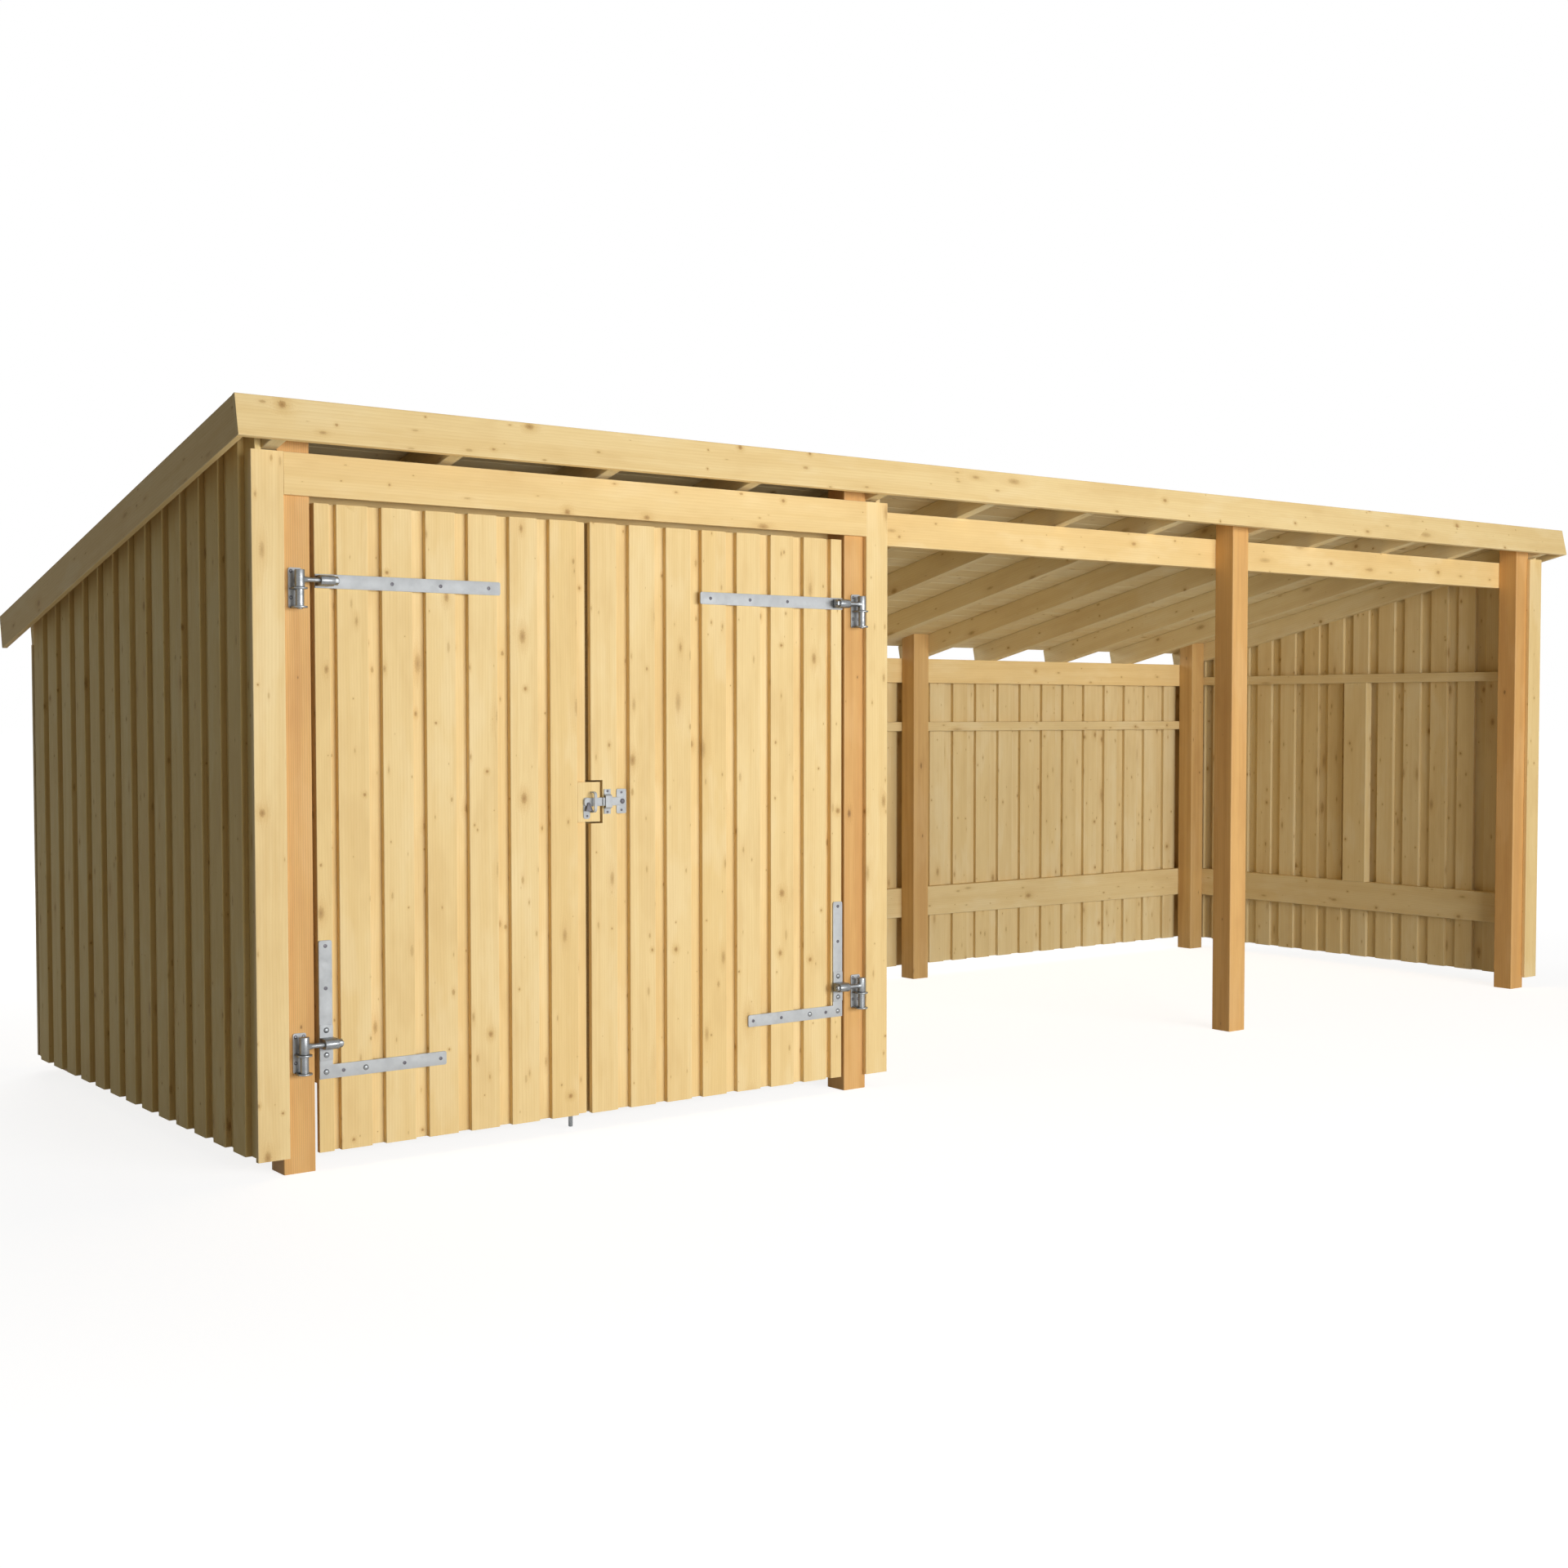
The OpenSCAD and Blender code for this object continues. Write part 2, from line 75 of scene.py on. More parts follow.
def chooseEdges(piece, chosen):
    clearChoice(piece, "EDGE")
    points = piece.data.vertices
    for edge in piece.data.edges:
        a, b = (points[i].co for i in edge.vertices)
        edge.select = bool(chosen(a, b))


def roundEdges(piece, chosen, radius, segments=4):
    chooseEdges(piece, chosen)
    inEditMode(piece, lambda: bpy.ops.mesh.bevel(offset=radius, segments=segments, affect="EDGES"))


def easeSharp(piece, radius):
    def work():
        bpy.ops.mesh.edges_select_sharp(sharpness=math.radians(50))
        bpy.ops.mesh.bevel(offset=radius, segments=2, affect="EDGES")
    clearChoice(piece, "EDGE")
    inEditMode(piece, work)


def addObject(name, data):
    thing = bpy.data.objects.new(name, data)
    bpy.context.collection.objects.link(thing)
    return thing


def newShape(make, **values):
    deselectAll()
    make(**values)
    return bpy.context.object


def newCube(size, middle=(0, 0, 0)):
    cube = newShape(bpy.ops.mesh.primitive_cube_add, size=1, location=middle)
    cube.scale = size
    bpy.ops.object.transform_apply(location=True, rotation=False, scale=True)
    return cube


def stood(middle, *axes):
    # a place and three directions as one matrix
    return Matrix.Translation(middle) @ Matrix([[axis[r] for axis in axes] for r in range(3)]).to_4x4()


def aimed(place, axis):
    return Matrix.Translation(place) @ axis.to_track_quat("Z", "Y").to_matrix().to_4x4()


def newGroup(name, inputs, outputs):
    tree = bpy.data.node_groups.new(name, "ShaderNodeTree")

    def addSocket(label, way):
        kind = "NodeSocketVector" if label in ("Place", "Bent place") else "NodeSocketFloat"
        return tree.interface.new_socket(name=label, in_out=way, socket_type=kind)

    for label, value in inputs.items():
        socket = addSocket(label, "INPUT")
        if value is not None:
            socket.default_value = value
    for label in outputs:
        addSocket(label, "OUTPUT")
    return tree, tree.nodes.new("NodeGroupInput").outputs, tree.nodes.new("NodeGroupOutput").inputs


class Wires:
    # short hand for laying out nodes in one tree
    def __init__(self, tree):
        self.tree = tree

    def link(self, source, target):
        if isinstance(source, bpy.types.NodeSocket):
            self.tree.links.new(source, target)
        elif source is not None:
            target.default_value = source

    def add(self, kind, **values):
        node = self.tree.nodes.new(kind)
        for key, value in values.items():
            setattr(node, key, value)
        return node

    def feed(self, node, **values):
        for key, value in values.items():
            self.link(value, node.inputs[key.replace("_", " ")])
        return node.outputs

    def math(self, operation, a, b=None, c=None):
        node = self.add("ShaderNodeMath", operation=operation)
        for socket, value in zip(node.inputs, (a, b, c)):
            self.link(value, socket)
        return node.outputs[0]

    def times(self, a, b):
        return self.math("MULTIPLY", a, b)

    def vector(self, operation, a, b=None):
        node = self.add("ShaderNodeVectorMath", operation=operation)
        self.link(a, node.inputs[0])
        self.link(b, node.inputs[1])
        return node.outputs["Value" if operation == "LENGTH" else "Vector"]

    def noise(self, place, scale, detail=3.0, rough=0.55, dimensions="2D"):
        node = self.add("ShaderNodeTexNoise", noise_dimensions=dimensions)
        return self.feed(node, Vector=place, Scale=scale, Detail=detail, Roughness=rough)["Fac"]

    def streaks(self, place, stretch, detail=3.0, rough=0.55, dimensions="2D"):
        return self.noise(self.vector("MULTIPLY", place, stretch), 1.0, detail, rough, dimensions)

    def cells(self, place, scale, dimensions="3D"):
        # cells and three random numbers for each
        node = self.add("ShaderNodeTexVoronoi", voronoi_dimensions=dimensions, feature="F1")
        found = self.feed(node, Scale=scale, Vector=place)
        return found, self.feed(self.add("ShaderNodeSeparateColor"), Color=found["Color"])

    def span(self, value, low, high, toLow=0.0, toHigh=1.0, smooth=True):
        node = self.add("ShaderNodeMapRange", interpolation_type="SMOOTHSTEP" if smooth else "LINEAR")
        for socket, item in zip(node.inputs[:5], (value, low, high, toLow, toHigh)):
            self.link(item, socket)
        return node.outputs[0]

    def blend(self, amount, a, b):
        a, b = ((*colour, 1) if isinstance(colour, tuple) else colour for colour in (a, b))
        return self.feed(self.add("ShaderNodeMix", data_type="RGBA"), Factor=amount, A=a, B=b)["Result"]

    def coat(self, colour, mask, depth, over):
        return self.blend(self.times(mask, depth), colour, over)

    def dress(self, surface, colour, rough, height, strength, distance=0.0006, **others):
        bump = self.feed(self.add("ShaderNodeBump"), Strength=strength, Distance=distance, Height=height)
        self.feed(surface, Base_Color=colour, Roughness=rough, Normal=bump[0], **others)

    def split(self, vector):
        return self.feed(self.add("ShaderNodeSeparateXYZ"), Vector=vector)

    def join(self, x, y, z=0.0):
        return self.feed(self.add("ShaderNodeCombineXYZ"), X=x, Y=y, Z=z)[0]


def makeKnotGroup():
    # knots scattered over a board: place is in metres, x across the board and y along it
    tree, inlet, outlet = newGroup(
        "boardKnots", {"Place": None, "Spread across": 0.1, "Spread along": 0.3, "Size": 0.007, "Share": 0.6},
        ("Knot", "Halo", "Core", "Bent place"))
    w = Wires(tree)
    place = inlet["Place"]
    spread = w.join(inlet["Spread across"], inlet["Spread along"], 1.0)
    cells = w.vector("DIVIDE", place, spread)
    nearest, lot = w.cells(cells, 1.0, "2D")
    dx, dy, _ = w.split(w.vector("MULTIPLY", w.vector("SUBTRACT", cells, nearest["Position"]), spread))
    # knots differ in depth of colour, and most are longer than wide
    kept = w.math("LESS_THAN", lot["Red"], inlet["Share"])
    depth = w.times(kept, w.math("MULTIPLY_ADD", lot["Blue"], -0.55, 1.0))
    radius = w.times(w.math("ADD", w.math("POWER", lot["Green"], 2.0), 0.22), inlet["Size"])
    radius = w.math("MAXIMUM", radius, 0.0004)
    long = w.math("MULTIPLY_ADD", lot["Blue"], 2.6, 0.9)
    flat = w.vector("LENGTH", w.join(dx, w.math("DIVIDE", dy, long)))
    ragged = w.math("MULTIPLY_ADD", w.noise(place, 240.0, 2.0), 0.8, 0.6)
    near = w.math("DIVIDE", w.times(flat, ragged), radius)
    for label, outside, inside in (("Knot", 1.3, 0.5), ("Halo", 3.4, 0.7), ("Core", 0.5, 0.1)):
        w.link(w.times(w.span(near, outside, inside), depth), outlet[label])
    # the grain gives way on both sides of a knot
    push = w.times(w.times(w.span(near, 4.5, 0.3), kept), w.times(w.math("SIGN", dx), radius))
    w.link(w.vector("ADD", place, w.join(w.times(push, -0.9), 0.0)), outlet["Bent place"])
    return tree


def makeGrainGroup():
    # streaks of early and late wood along a board
    tree, inlet, outlet = newGroup(
        "boardGrain", {"Place": None, "Lines per metre": 90.0, "Sway": 2.2}, ("Line", "Fibre", "Band", "Stain"))
    w = Wires(tree)
    place = inlet["Place"]
    sway = w.times(w.streaks(place, (9.0, 0.75, 1.0), 2.0, 0.5), inlet["Sway"])
    saw = w.math("FRACT", w.math("ADD", w.times(w.split(place)["X"], inlet["Lines per metre"]), sway))
    w.link(w.times(w.math("POWER", saw, 3.0), w.span(saw, 1.0, 0.93)), outlet["Line"])
    for label, stretch, rough in (
            ("Fibre", (520.0, 9.0, 1.0), 0.6), ("Band", (26.0, 0.9, 1.0), 0.55), ("Stain", (7.0, 2.2, 1.0), 0.6)):
        w.link(w.streaks(place, stretch, 3.0, rough), outlet[label])
    return tree


knotGroup, grainGroup = makeKnotGroup(), makeGrainGroup()


def newMaterial(name):
    material = bpy.data.materials.new(name)
    material.use_nodes = True
    tree = material.node_tree
    return material, Wires(tree), tree.nodes["Principled BSDF"]


def makeTimber(name, look):
    material, w, surface = newMaterial(name)
    place = w.add("ShaderNodeUVMap", uv_map="grain").outputs[0]
    tone, arris = (w.add("ShaderNodeAttribute", attribute_name=label).outputs["Fac"] for label in ("tone", "arris"))
    knots, pins = (
        w.feed(w.add("ShaderNodeGroup", node_tree=knotGroup), Place=start, Spread_across=look[f"{kind}Across"],
               Spread_along=look[f"{kind}Along"], Size=look[f"{kind}Size"], Share=look[f"{kind}Share"])
        for kind, start in (("knot", place), ("pin", w.vector("ADD", place, (3.7, 1.3, 0.0)))))
    grain = w.feed(w.add("ShaderNodeGroup", node_tree=grainGroup), Place=knots["Bent place"],
                   Lines_per_metre=look["lines"], Sway=look["sway"])
    colour = w.blend(w.span(tone, 0.0, 1.0, smooth=False), look["pale"], look["warm"])
    for over, depth, mask in (
            ("band", "bandDepth", w.span(grain["Band"], 0.36, 0.68)),
            ("stain", "stainDepth", w.span(grain["Stain"], 0.5, 0.74)),
            ("light", "lightDepth", w.span(grain["Stain"], 0.48, 0.3)), ("line", "lineDepth", grain["Line"]),
            ("line", "fibreDepth", w.span(grain["Fibre"], 0.5, 0.78)), ("halo", "haloDepth", knots["Halo"]),
            ("knot", "knotDepth", knots["Knot"]), ("core", "coreDepth", knots["Core"]),
            ("halo", "pinHaloDepth", pins["Halo"]), ("knot", "knotDepth", pins["Knot"]), ("arris", "arrisDepth", arris)):
        colour = w.coat(colour, mask, look[depth], look[over])
    rough = w.span(grain["Fibre"], 0.3, 0.7, look["rough"] - 0.06, look["rough"] + 0.08)
    height = w.math("SUBTRACT", w.times(grain["Fibre"], 0.7), w.times(grain["Line"], 0.5))
    height = w.math("ADD", height, w.times(knots["Knot"], 0.6))
    w.dress(surface, colour, rough, height, look["bump"], Specular_IOR_Level=0.3)
    return material


def makeEndGrain(name, look):
    # sawn ends: year rings round a heart that lies off the board
    material, w, surface = newMaterial(name)
    place = w.add("ShaderNodeUVMap", uv_map="grain").outputs[0]
    wobble = w.times(w.noise(place, 22.0, 2.0), 1.4)
    reach = w.times(w.vector("LENGTH", w.vector("SUBTRACT", place, look["heart"])), look["rings"])
    late = w.math("POWER", w.math("FRACT", w.math("ADD", reach, wobble)), 2.5)
    saw = w.streaks(place, (160.0, 900.0, 1.0), 2.0)
    colour = w.coat(look["pale"], late, 0.6, look["line"])
    colour = w.coat(colour, w.span(saw, 0.45, 0.7), 0.3, look["stain"])
    w.dress(surface, colour, w.span(saw, 0.3, 0.7, 0.74, 0.9), saw, 0.3, Specular_IOR_Level=0.2)
    return material


spruceLook = {
    "pale": (0.880, 0.670, 0.328), "warm": (0.845, 0.615, 0.272), "band": (0.775, 0.535, 0.218),
    "stain": (0.715, 0.485, 0.200), "light": (0.925, 0.740, 0.410), "line": (0.610, 0.380, 0.140),
    "halo": (0.660, 0.415, 0.150), "knot": (0.430, 0.238, 0.074), "core": (0.290, 0.148, 0.045),
    "arris": (0.915, 0.735, 0.415), "bandDepth": 0.42, "stainDepth": 0.36, "lightDepth": 0.4, "lineDepth": 0.2,
    "fibreDepth": 0.16, "haloDepth": 0.5, "arrisDepth": 0.3, "knotDepth": 0.8, "coreDepth": 0.45, "pinHaloDepth": 0.3,
    "knotAcross": 0.085, "knotAlong": 0.25, "knotSize": 0.0098, "knotShare": 0.6, "pinAcross": 0.055, "pinAlong": 0.21,
    "pinSize": 0.0045, "pinShare": 0.58, "lines": 105.0, "sway": 3.2, "rough": 0.66, "bump": 0.35,
}
postLook = dict(
    spruceLook, pale=(0.800, 0.480, 0.170), warm=(0.725, 0.410, 0.137), band=(0.640, 0.335, 0.108),
    stain=(0.585, 0.300, 0.096), light=(0.815, 0.510, 0.215), line=(0.460, 0.225, 0.068),
    halo=(0.520, 0.265, 0.080), knot=(0.215, 0.100, 0.030), core=(0.160, 0.070, 0.020),
    arris=(0.800, 0.500, 0.205), lines=150.0, sway=1.6, lineDepth=0.5, bandDepth=0.62,
    knotShare=0.12, pinShare=0.1, rough=0.58,
)


def tinted(look, tint):
    return {key: tuple(v * t for v, t in zip(value, tint)) if isinstance(value, tuple) else value
            for key, value in look.items()}


spruceRings = {"heart": (0.03, -0.06, 0.0), "rings": 240.0}
postRings = {"heart": (0.01, 0.005, 0.0), "rings": 210.0}


def makeWood(name, look, rings):
    # a board's faces and its sawn ends
    return makeTimber(name, look), makeEndGrain(f"{name}End", {**look, **rings})


spruce = makeWood("spruce", spruceLook, spruceRings)
# the back posts' copy of the post wood is duller and greyer: painted shade for the bays they stand in
postWood = {"front": makeWood("postWood", postLook, postRings),
            "back": makeWood("backPostWood", tinted(postLook, (0.86, 0.93, 1.02)), postRings)}
# painted shade: the end wall's copy of spruce is darker and yellower, for the shade on the side that faces away from
# the lamp
shadedEndSpruce = makeWood("shadedEndSpruce", tinted(spruceLook, (0.93, 0.94, 0.83)), spruceRings)
# painted shade: boards inside the bays and under the roof get duller, greyer copies of spruce for the shade and bounce
# light they stand in
shadedWallSpruce = makeWood("shadedWallSpruce", tinted(spruceLook, (0.90, 0.95, 1.05)), spruceRings)
shadedRoofSpruce = makeWood("shadedRoofSpruce", tinted(spruceLook, (0.92, 1.02, 1.22)), spruceRings)


def makeSteel(name, look):
    # hot-dip zinc: faint spangles, cloudy oxide and fine scuffs
    material, w, surface = newMaterial(name)
    place = w.add("ShaderNodeTexCoord").outputs["Object"]
    flake = w.cells(place, look["spangles"])[1]
    cloud = w.noise(place, look["clouds"], 4.0, 0.6, "3D")
    scuff = w.streaks(place, (700.0, 700.0, 60.0), 2.0, 0.6, "3D")
    colour = w.coat(look["pale"], flake["Red"], look["flakeDepth"], look["grey"])
    colour = w.coat(colour, w.span(cloud, 0.42, 0.7), look["cloudDepth"], look["dull"])
    rough = w.span(cloud, 0.3, 0.75, look["rough"] - 0.08, look["rough"] + 0.12)
    rough = w.math("ADD", rough, w.times(flake["Green"], 0.08))
    rough = w.math("ADD", rough, w.times(w.span(scuff, 0.55, 0.75), 0.06))
    w.dress(surface, colour, rough, w.math("ADD", cloud, w.times(scuff, 0.3)), 0.12, 0.0005, Metallic=look["metal"])
    return material


strapSteel = makeSteel("strapSteel", {
    "pale": (0.485, 0.502, 0.510), "grey": (0.444, 0.460, 0.470), "dull": (0.416, 0.431, 0.441),
    "spangles": 110.0, "clouds": 24.0, "flakeDepth": 0.5, "cloudDepth": 0.4, "metal": 0.12, "rough": 0.58,
})
forgedSteel = makeSteel("forgedSteel", {
    "pale": (0.260, 0.272, 0.280), "grey": (0.200, 0.210, 0.218), "dull": (0.150, 0.158, 0.164),
    "spangles": 160.0, "clouds": 60.0, "flakeDepth": 0.4, "cloudDepth": 0.5, "metal": 0.75, "rough": 0.3,
})
# dark steel for the screw heads and the knob; on the keeper's flap its darkness is painted shade
darkSteel = makeSteel("darkSteel", {
    "pale": (0.130, 0.122, 0.142), "grey": (0.112, 0.106, 0.124), "dull": (0.096, 0.091, 0.106),
    "spangles": 160.0, "clouds": 60.0, "flakeDepth": 0.4, "cloudDepth": 0.5, "metal": 0.1, "rough": 0.42,
})


def makeFelt():
    # mineral-faced roofing felt: slate grains on bitumen, washed pale and streaked by rain
    material, w, surface = newMaterial("roofingFelt")
    place = w.add("ShaderNodeTexCoord").outputs["Object"]
    grain, fleck = w.cells(place, 620.0)
    wash = w.noise(place, 3.2, 5.0, 0.62, "3D")
    runs = w.noise(w.vector("MULTIPLY", place, (7.0, 0.7, 0.7)), 1.6, 4.0, 0.6, "3D")
    colour = w.blend(fleck["Red"], (0.026, 0.027, 0.029), (0.100, 0.102, 0.107))
    colour = w.coat(colour, w.span(fleck["Green"], 0.9, 0.97), 0.6, (0.24, 0.24, 0.245))
    colour = w.coat(colour, w.span(wash, 0.4, 0.7), 0.5, (0.115, 0.112, 0.106))
    colour = w.coat(colour, w.span(runs, 0.5, 0.72), 0.55, (0.034, 0.034, 0.035))
    w.dress(surface, colour, w.span(fleck["Blue"], 0.0, 1.0, 0.72, 0.95), grain["Distance"], 0.6, 0.0008)
    return material


roofingFelt = makeFelt()
print("materials ready")

# sawn timber is modelled once for each section and length, then copied
sawn = {}


def sawTimber(width, depth, length, ease):
    key = tuple(round(v, 5) for v in (width, depth, length, ease))
    if key in sawn:
        return sawn[key]
    bar = newCube((width, depth, length))
    roundEdges(bar, lambda a, b: abs(a.z - b.z) > length / 2, ease, 2)
    mesh = bar.data
    while mesh.uv_layers:
        mesh.uv_layers.remove(mesh.uv_layers[0])
    grain = mesh.uv_layers.new(name="grain")
    arris = mesh.attributes.new("arris", "FLOAT", "FACE")
    mesh.attributes.new("tone", "FLOAT", "POINT")
    for face in mesh.polygons:
        n = face.normal
        ends, side = abs(n.z) > 0.7, abs(n.x) > abs(n.y)
        face.material_index = 1 if ends else 0
        arris.data[face.index].value = 0.0 if max(abs(n.x), abs(n.y), abs(n.z)) > 0.99 else 1.0
        for corner in face.loop_indices:
            p = mesh.vertices[mesh.loops[corner].vertex_index].co
            if ends:
                place = (p.x, p.y)
            elif side:
                place = (math.copysign(width / 2 + depth / 2 + p.y, n.x), p.z)
            else:
                place = (p.x, p.z)
            grain.data[corner].uv = place
    sawn[key] = bar
    return bar


def layTimber(middle, along, across, width, depth, length, ease, materials):
    # a copy with its own stretch of grain and its own tone
    mesh = sawTimber(width, depth, length, ease).data.copy()
    bar = addObject("timber", mesh)
    shift = [round(dice.uniform(0, 40), 3) for axis in range(2)]
    flip = dice.choice((-1.0, 1.0))
    ends = np.zeros(len(mesh.polygons), np.int32)
    mesh.polygons.foreach_get("material_index", ends)
    loops = np.repeat(ends, [face.loop_total for face in mesh.polygons])
    uv = np.zeros(len(mesh.loops) * 2, np.float32)
    mesh.uv_layers["grain"].data.foreach_get("uv", uv)
    uv = uv.reshape(-1, 2)
    uv[loops == 0] = uv[loops == 0] * (1.0, flip) + shift
    mesh.uv_layers["grain"].data.foreach_set("uv", uv.ravel())
    mesh.attributes["tone"].data.foreach_set("value", np.full(len(mesh.vertices), dice.random(), np.float32))
    mesh.transform(stood(middle, across, along.cross(across), along))
    mesh.materials.clear()
    for material in materials:
        mesh.materials.append(material)
    return bar


def barBetween(low, high, along, ease, materials=spruce):
    low, high = Vector(low), Vector(high)
    size = high - low
    axes = {"x": (xDir, yDir, zDir), "y": (yDir, xDir, zDir), "z": (zDir, xDir, yDir)}[along]
    spans = [abs(size.dot(axis)) for axis in axes]
    wide = 1 if spans[1] >= spans[2] else 2
    return layTimber((low + high) / 2, axes[0], axes[wide], spans[wide], spans[3 - wide], spans[0], ease, materials)


def joinBars(name, bars):
    activate(*bars)
    if len(bars) > 1:
        bpy.ops.object.join()
    bars[0].name = bars[0].data.name = name
    return bars[0]


def cutAbove(piece, point, normal):
    def work():
        bpy.ops.mesh.select_all(action="SELECT")
        bpy.ops.mesh.bisect(plane_co=point, plane_no=normal, use_fill=True, clear_outer=True)
        bpy.ops.mesh.select_all(action="SELECT")
        bpy.ops.mesh.normals_make_consistent(inside=False)
    inEditMode(piece, work)


def addBlock(low, high, material=None):
    low, high = Vector(low), Vector(high)
    block = newCube(high - low, (low + high) / 2)
    if material:
        block.data.materials.append(material)
    return block


def combine(piece, tool, operation):
    change = piece.modifiers.new("change", "BOOLEAN")
    change.operation, change.object, change.solver = operation, tool, "EXACT"
    activate(piece)
    bpy.ops.object.modifier_apply(modifier="change")
    bpy.data.objects.remove(tool)


def standFor(piece, node, body="root"):
    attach(piece, body)
    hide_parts(node)


def standJoined(name, bars, node, body="root"):
    standFor(joinBars(name, bars), node, body)


# measures that the frame's boxes don't give
shed = {"fall": math.radians(12.5), "rafterHigh": 0.095, "deckThick": 0.016, "feltThick": 0.002, "fasciaHigh": 0.12,
        "fasciaThick": 0.019, "timber": 0.045, "board": 0.019, "fit": 0.0003}
slopeDir = Vector((0, math.cos(shed["fall"]), -math.sin(shed["fall"])))
upDir = Vector((0, math.sin(shed["fall"]), math.cos(shed["fall"])))
fasciaLow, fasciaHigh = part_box("front_fascia")
roofFront = Vector((0, fasciaLow.y + shed["fasciaHigh"] * math.sin(shed["fall"]), fasciaHigh.z))
roofLength = (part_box("left_fascia")[1].y - roofFront.y) / math.cos(shed["fall"])
roofThick = shed["rafterHigh"] + shed["deckThick"] + shed["feltThick"]
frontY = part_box("front_post_1")[0].y
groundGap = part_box("left_trim")[0].z


def onRoof(x, down, up):
    return Vector((x, roofFront.y, roofFront.z)) + slopeDir * down + upDir * up


deckUnder = onRoof(0, 0, -shed["deckThick"] - shed["feltThick"] - shed["fit"])
rafterUnder = onRoof(0, 0, -roofThick - shed["fit"])

frameStyle = {"postEase": 0.004, "beamEase": 0.003}
for row in ("front", "back"):
    for number in range(1, 5):
        node = f"{row}_post_{number}"
        post = barBetween(*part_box(node), "z", frameStyle["postEase"], postWood[row])
        cutAbove(post, deckUnder, upDir)
        standJoined(f"{row}Post{number}", [post], node)
for row in ("front", "back"):
    beam = barBetween(*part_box(f"{row}_beam"), "x", frameStyle["beamEase"])
    cutAbove(beam, rafterUnder, upDir)
    standJoined(f"{row}Beam", [beam], f"{row}_beam")
print("posts and beams stand")

roof = {"raftersInBay": 4, "rafterEase": 0.003, "deckBoard": 0.0975, "deckGap": 0.0006, "deckPlay": 0.0004,
        "buttGap": 0.0004, "boardEase": 0.0025, "feltStrip": 0.86, "feltSheet": 0.001, "feltLap": 0.09,
        "feltStep": 0.11, "feltCuts": 9}
postX = [sum(corner.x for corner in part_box(f"front_post_{n}")) / 2 for n in range(1, 5)]
postHalf = (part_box("front_post_1")[1].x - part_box("front_post_1")[0].x) / 2
bayStart = [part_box("rafters")[0].x] + [x + postHalf for x in postX[1:]]
rafterX = [a + (b - a) * k / roof["raftersInBay"] for a, b in zip(bayStart, bayStart[1:])
           for k in range(roof["raftersInBay"])] + [bayStart[3]]
rafterRun = roofLength - shed["fasciaThick"]
rafterDown = shed["fasciaThick"] + rafterRun / 2
rafterBars = [layTimber(onRoof(x + shed["timber"] / 2, rafterDown, -roofThick + shed["rafterHigh"] / 2), slopeDir, upDir,
                        shed["rafterHigh"], shed["timber"], rafterRun, roof["rafterEase"], shadedRoofSpruce) for x in rafterX]
standJoined("rafters", rafterBars, "rafters")

deckLow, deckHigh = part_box("roof_deck")
deckCount = round(rafterRun / roof["deckBoard"])
deckWide = rafterRun / deckCount
deckUp = -shed["feltThick"] - shed["deckThick"] / 2
deckBars = []
for i in range(deckCount):
    # boards butt on a rafter, in turn on the fifth and the ninth
    butt = rafterX[4 if i % 2 else 8] + shed["timber"] / 2
    for start, end in ((deckLow.x, butt - roof["buttGap"]), (butt + roof["buttGap"], deckHigh.x)):
        middle = onRoof((start + end) / 2, shed["fasciaThick"] + (i + 0.5) * deckWide, deckUp)
        deckBars.append(layTimber(
            middle, xDir, slopeDir, deckWide - roof["deckGap"], shed["deckThick"] - roof["deckPlay"], end - start,
            roof["boardEase"], shadedRoofSpruce))
standJoined("roofBoards", deckBars, "roof_deck")

for side in ("front", "left", "right"):
    low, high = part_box(f"{side}_fascia")
    down, along, run = rafterDown, slopeDir, rafterRun
    if side == "front":
        down, along, run = shed["fasciaThick"] / 2, xDir, high.x - low.x
    board = layTimber(onRoof((low.x + high.x) / 2, down, -shed["fasciaHigh"] / 2), along, upDir, shed["fasciaHigh"],
                      shed["fasciaThick"], run, roof["boardEase"], spruce)
    standJoined(f"{side}Fascia", [board], f"{side}_fascia")


def layFelt():
    # strips along the eaves, each dressed up over the head of the one below it
    low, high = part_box("roof_felt")
    sheet = roof["feltSheet"]
    strips = []
    count = math.ceil(rafterRun / roof["feltStrip"])
    for i in range(count):
        top = shed["fasciaThick"] + i * rafterRun / count
        bottom = top + rafterRun / count + roof["feltLap"] if i < count - 1 else roofLength
        strip = newCube((high.x - low.x, bottom - top, sheet))
        inEditMode(strip, lambda: bpy.ops.mesh.subdivide(number_cuts=roof["feltCuts"]))
        for corner in strip.data.vertices:
            if i < count - 1 and corner.co.y > (bottom - top) / 2 - roof["feltStep"]:
                corner.co.z += sheet
        middle = onRoof((low.x + high.x) / 2, (top + bottom) / 2, -shed["feltThick"] + sheet / 2)
        strip.data.transform(stood(middle, xDir, slopeDir, upDir))
        strip.data.materials.append(roofingFelt)
        strips.append(strip)
    return joinBars("roofFelt", strips)


standFor(layFelt(), "roof_felt", "root")
print("roof laid")

# inner boards lie on the rails, outer boards over their gaps
cladding = {"wide": 0.096, "lap": 0.0174, "sideFirst": 0.077, "backFirst": 0.027, "ease": 0.002, "leastBoard": 0.01}
pitch = 2 * (cladding["wide"] - cladding["lap"])


def boardRuns(run, first):
    count = int((run - first - cladding["wide"]) / pitch)
    starts = [first + i * pitch for i in range(count + 1)], [first + (i - 0.5) * pitch for i in range(count + 2)]
    outer, inner = ([(max(0.0, a), min(run, a + cladding["wide"])) for a in row] for row in starts)
    return outer, [(a, b) for a, b in inner if b - a > cladding["leastBoard"]]


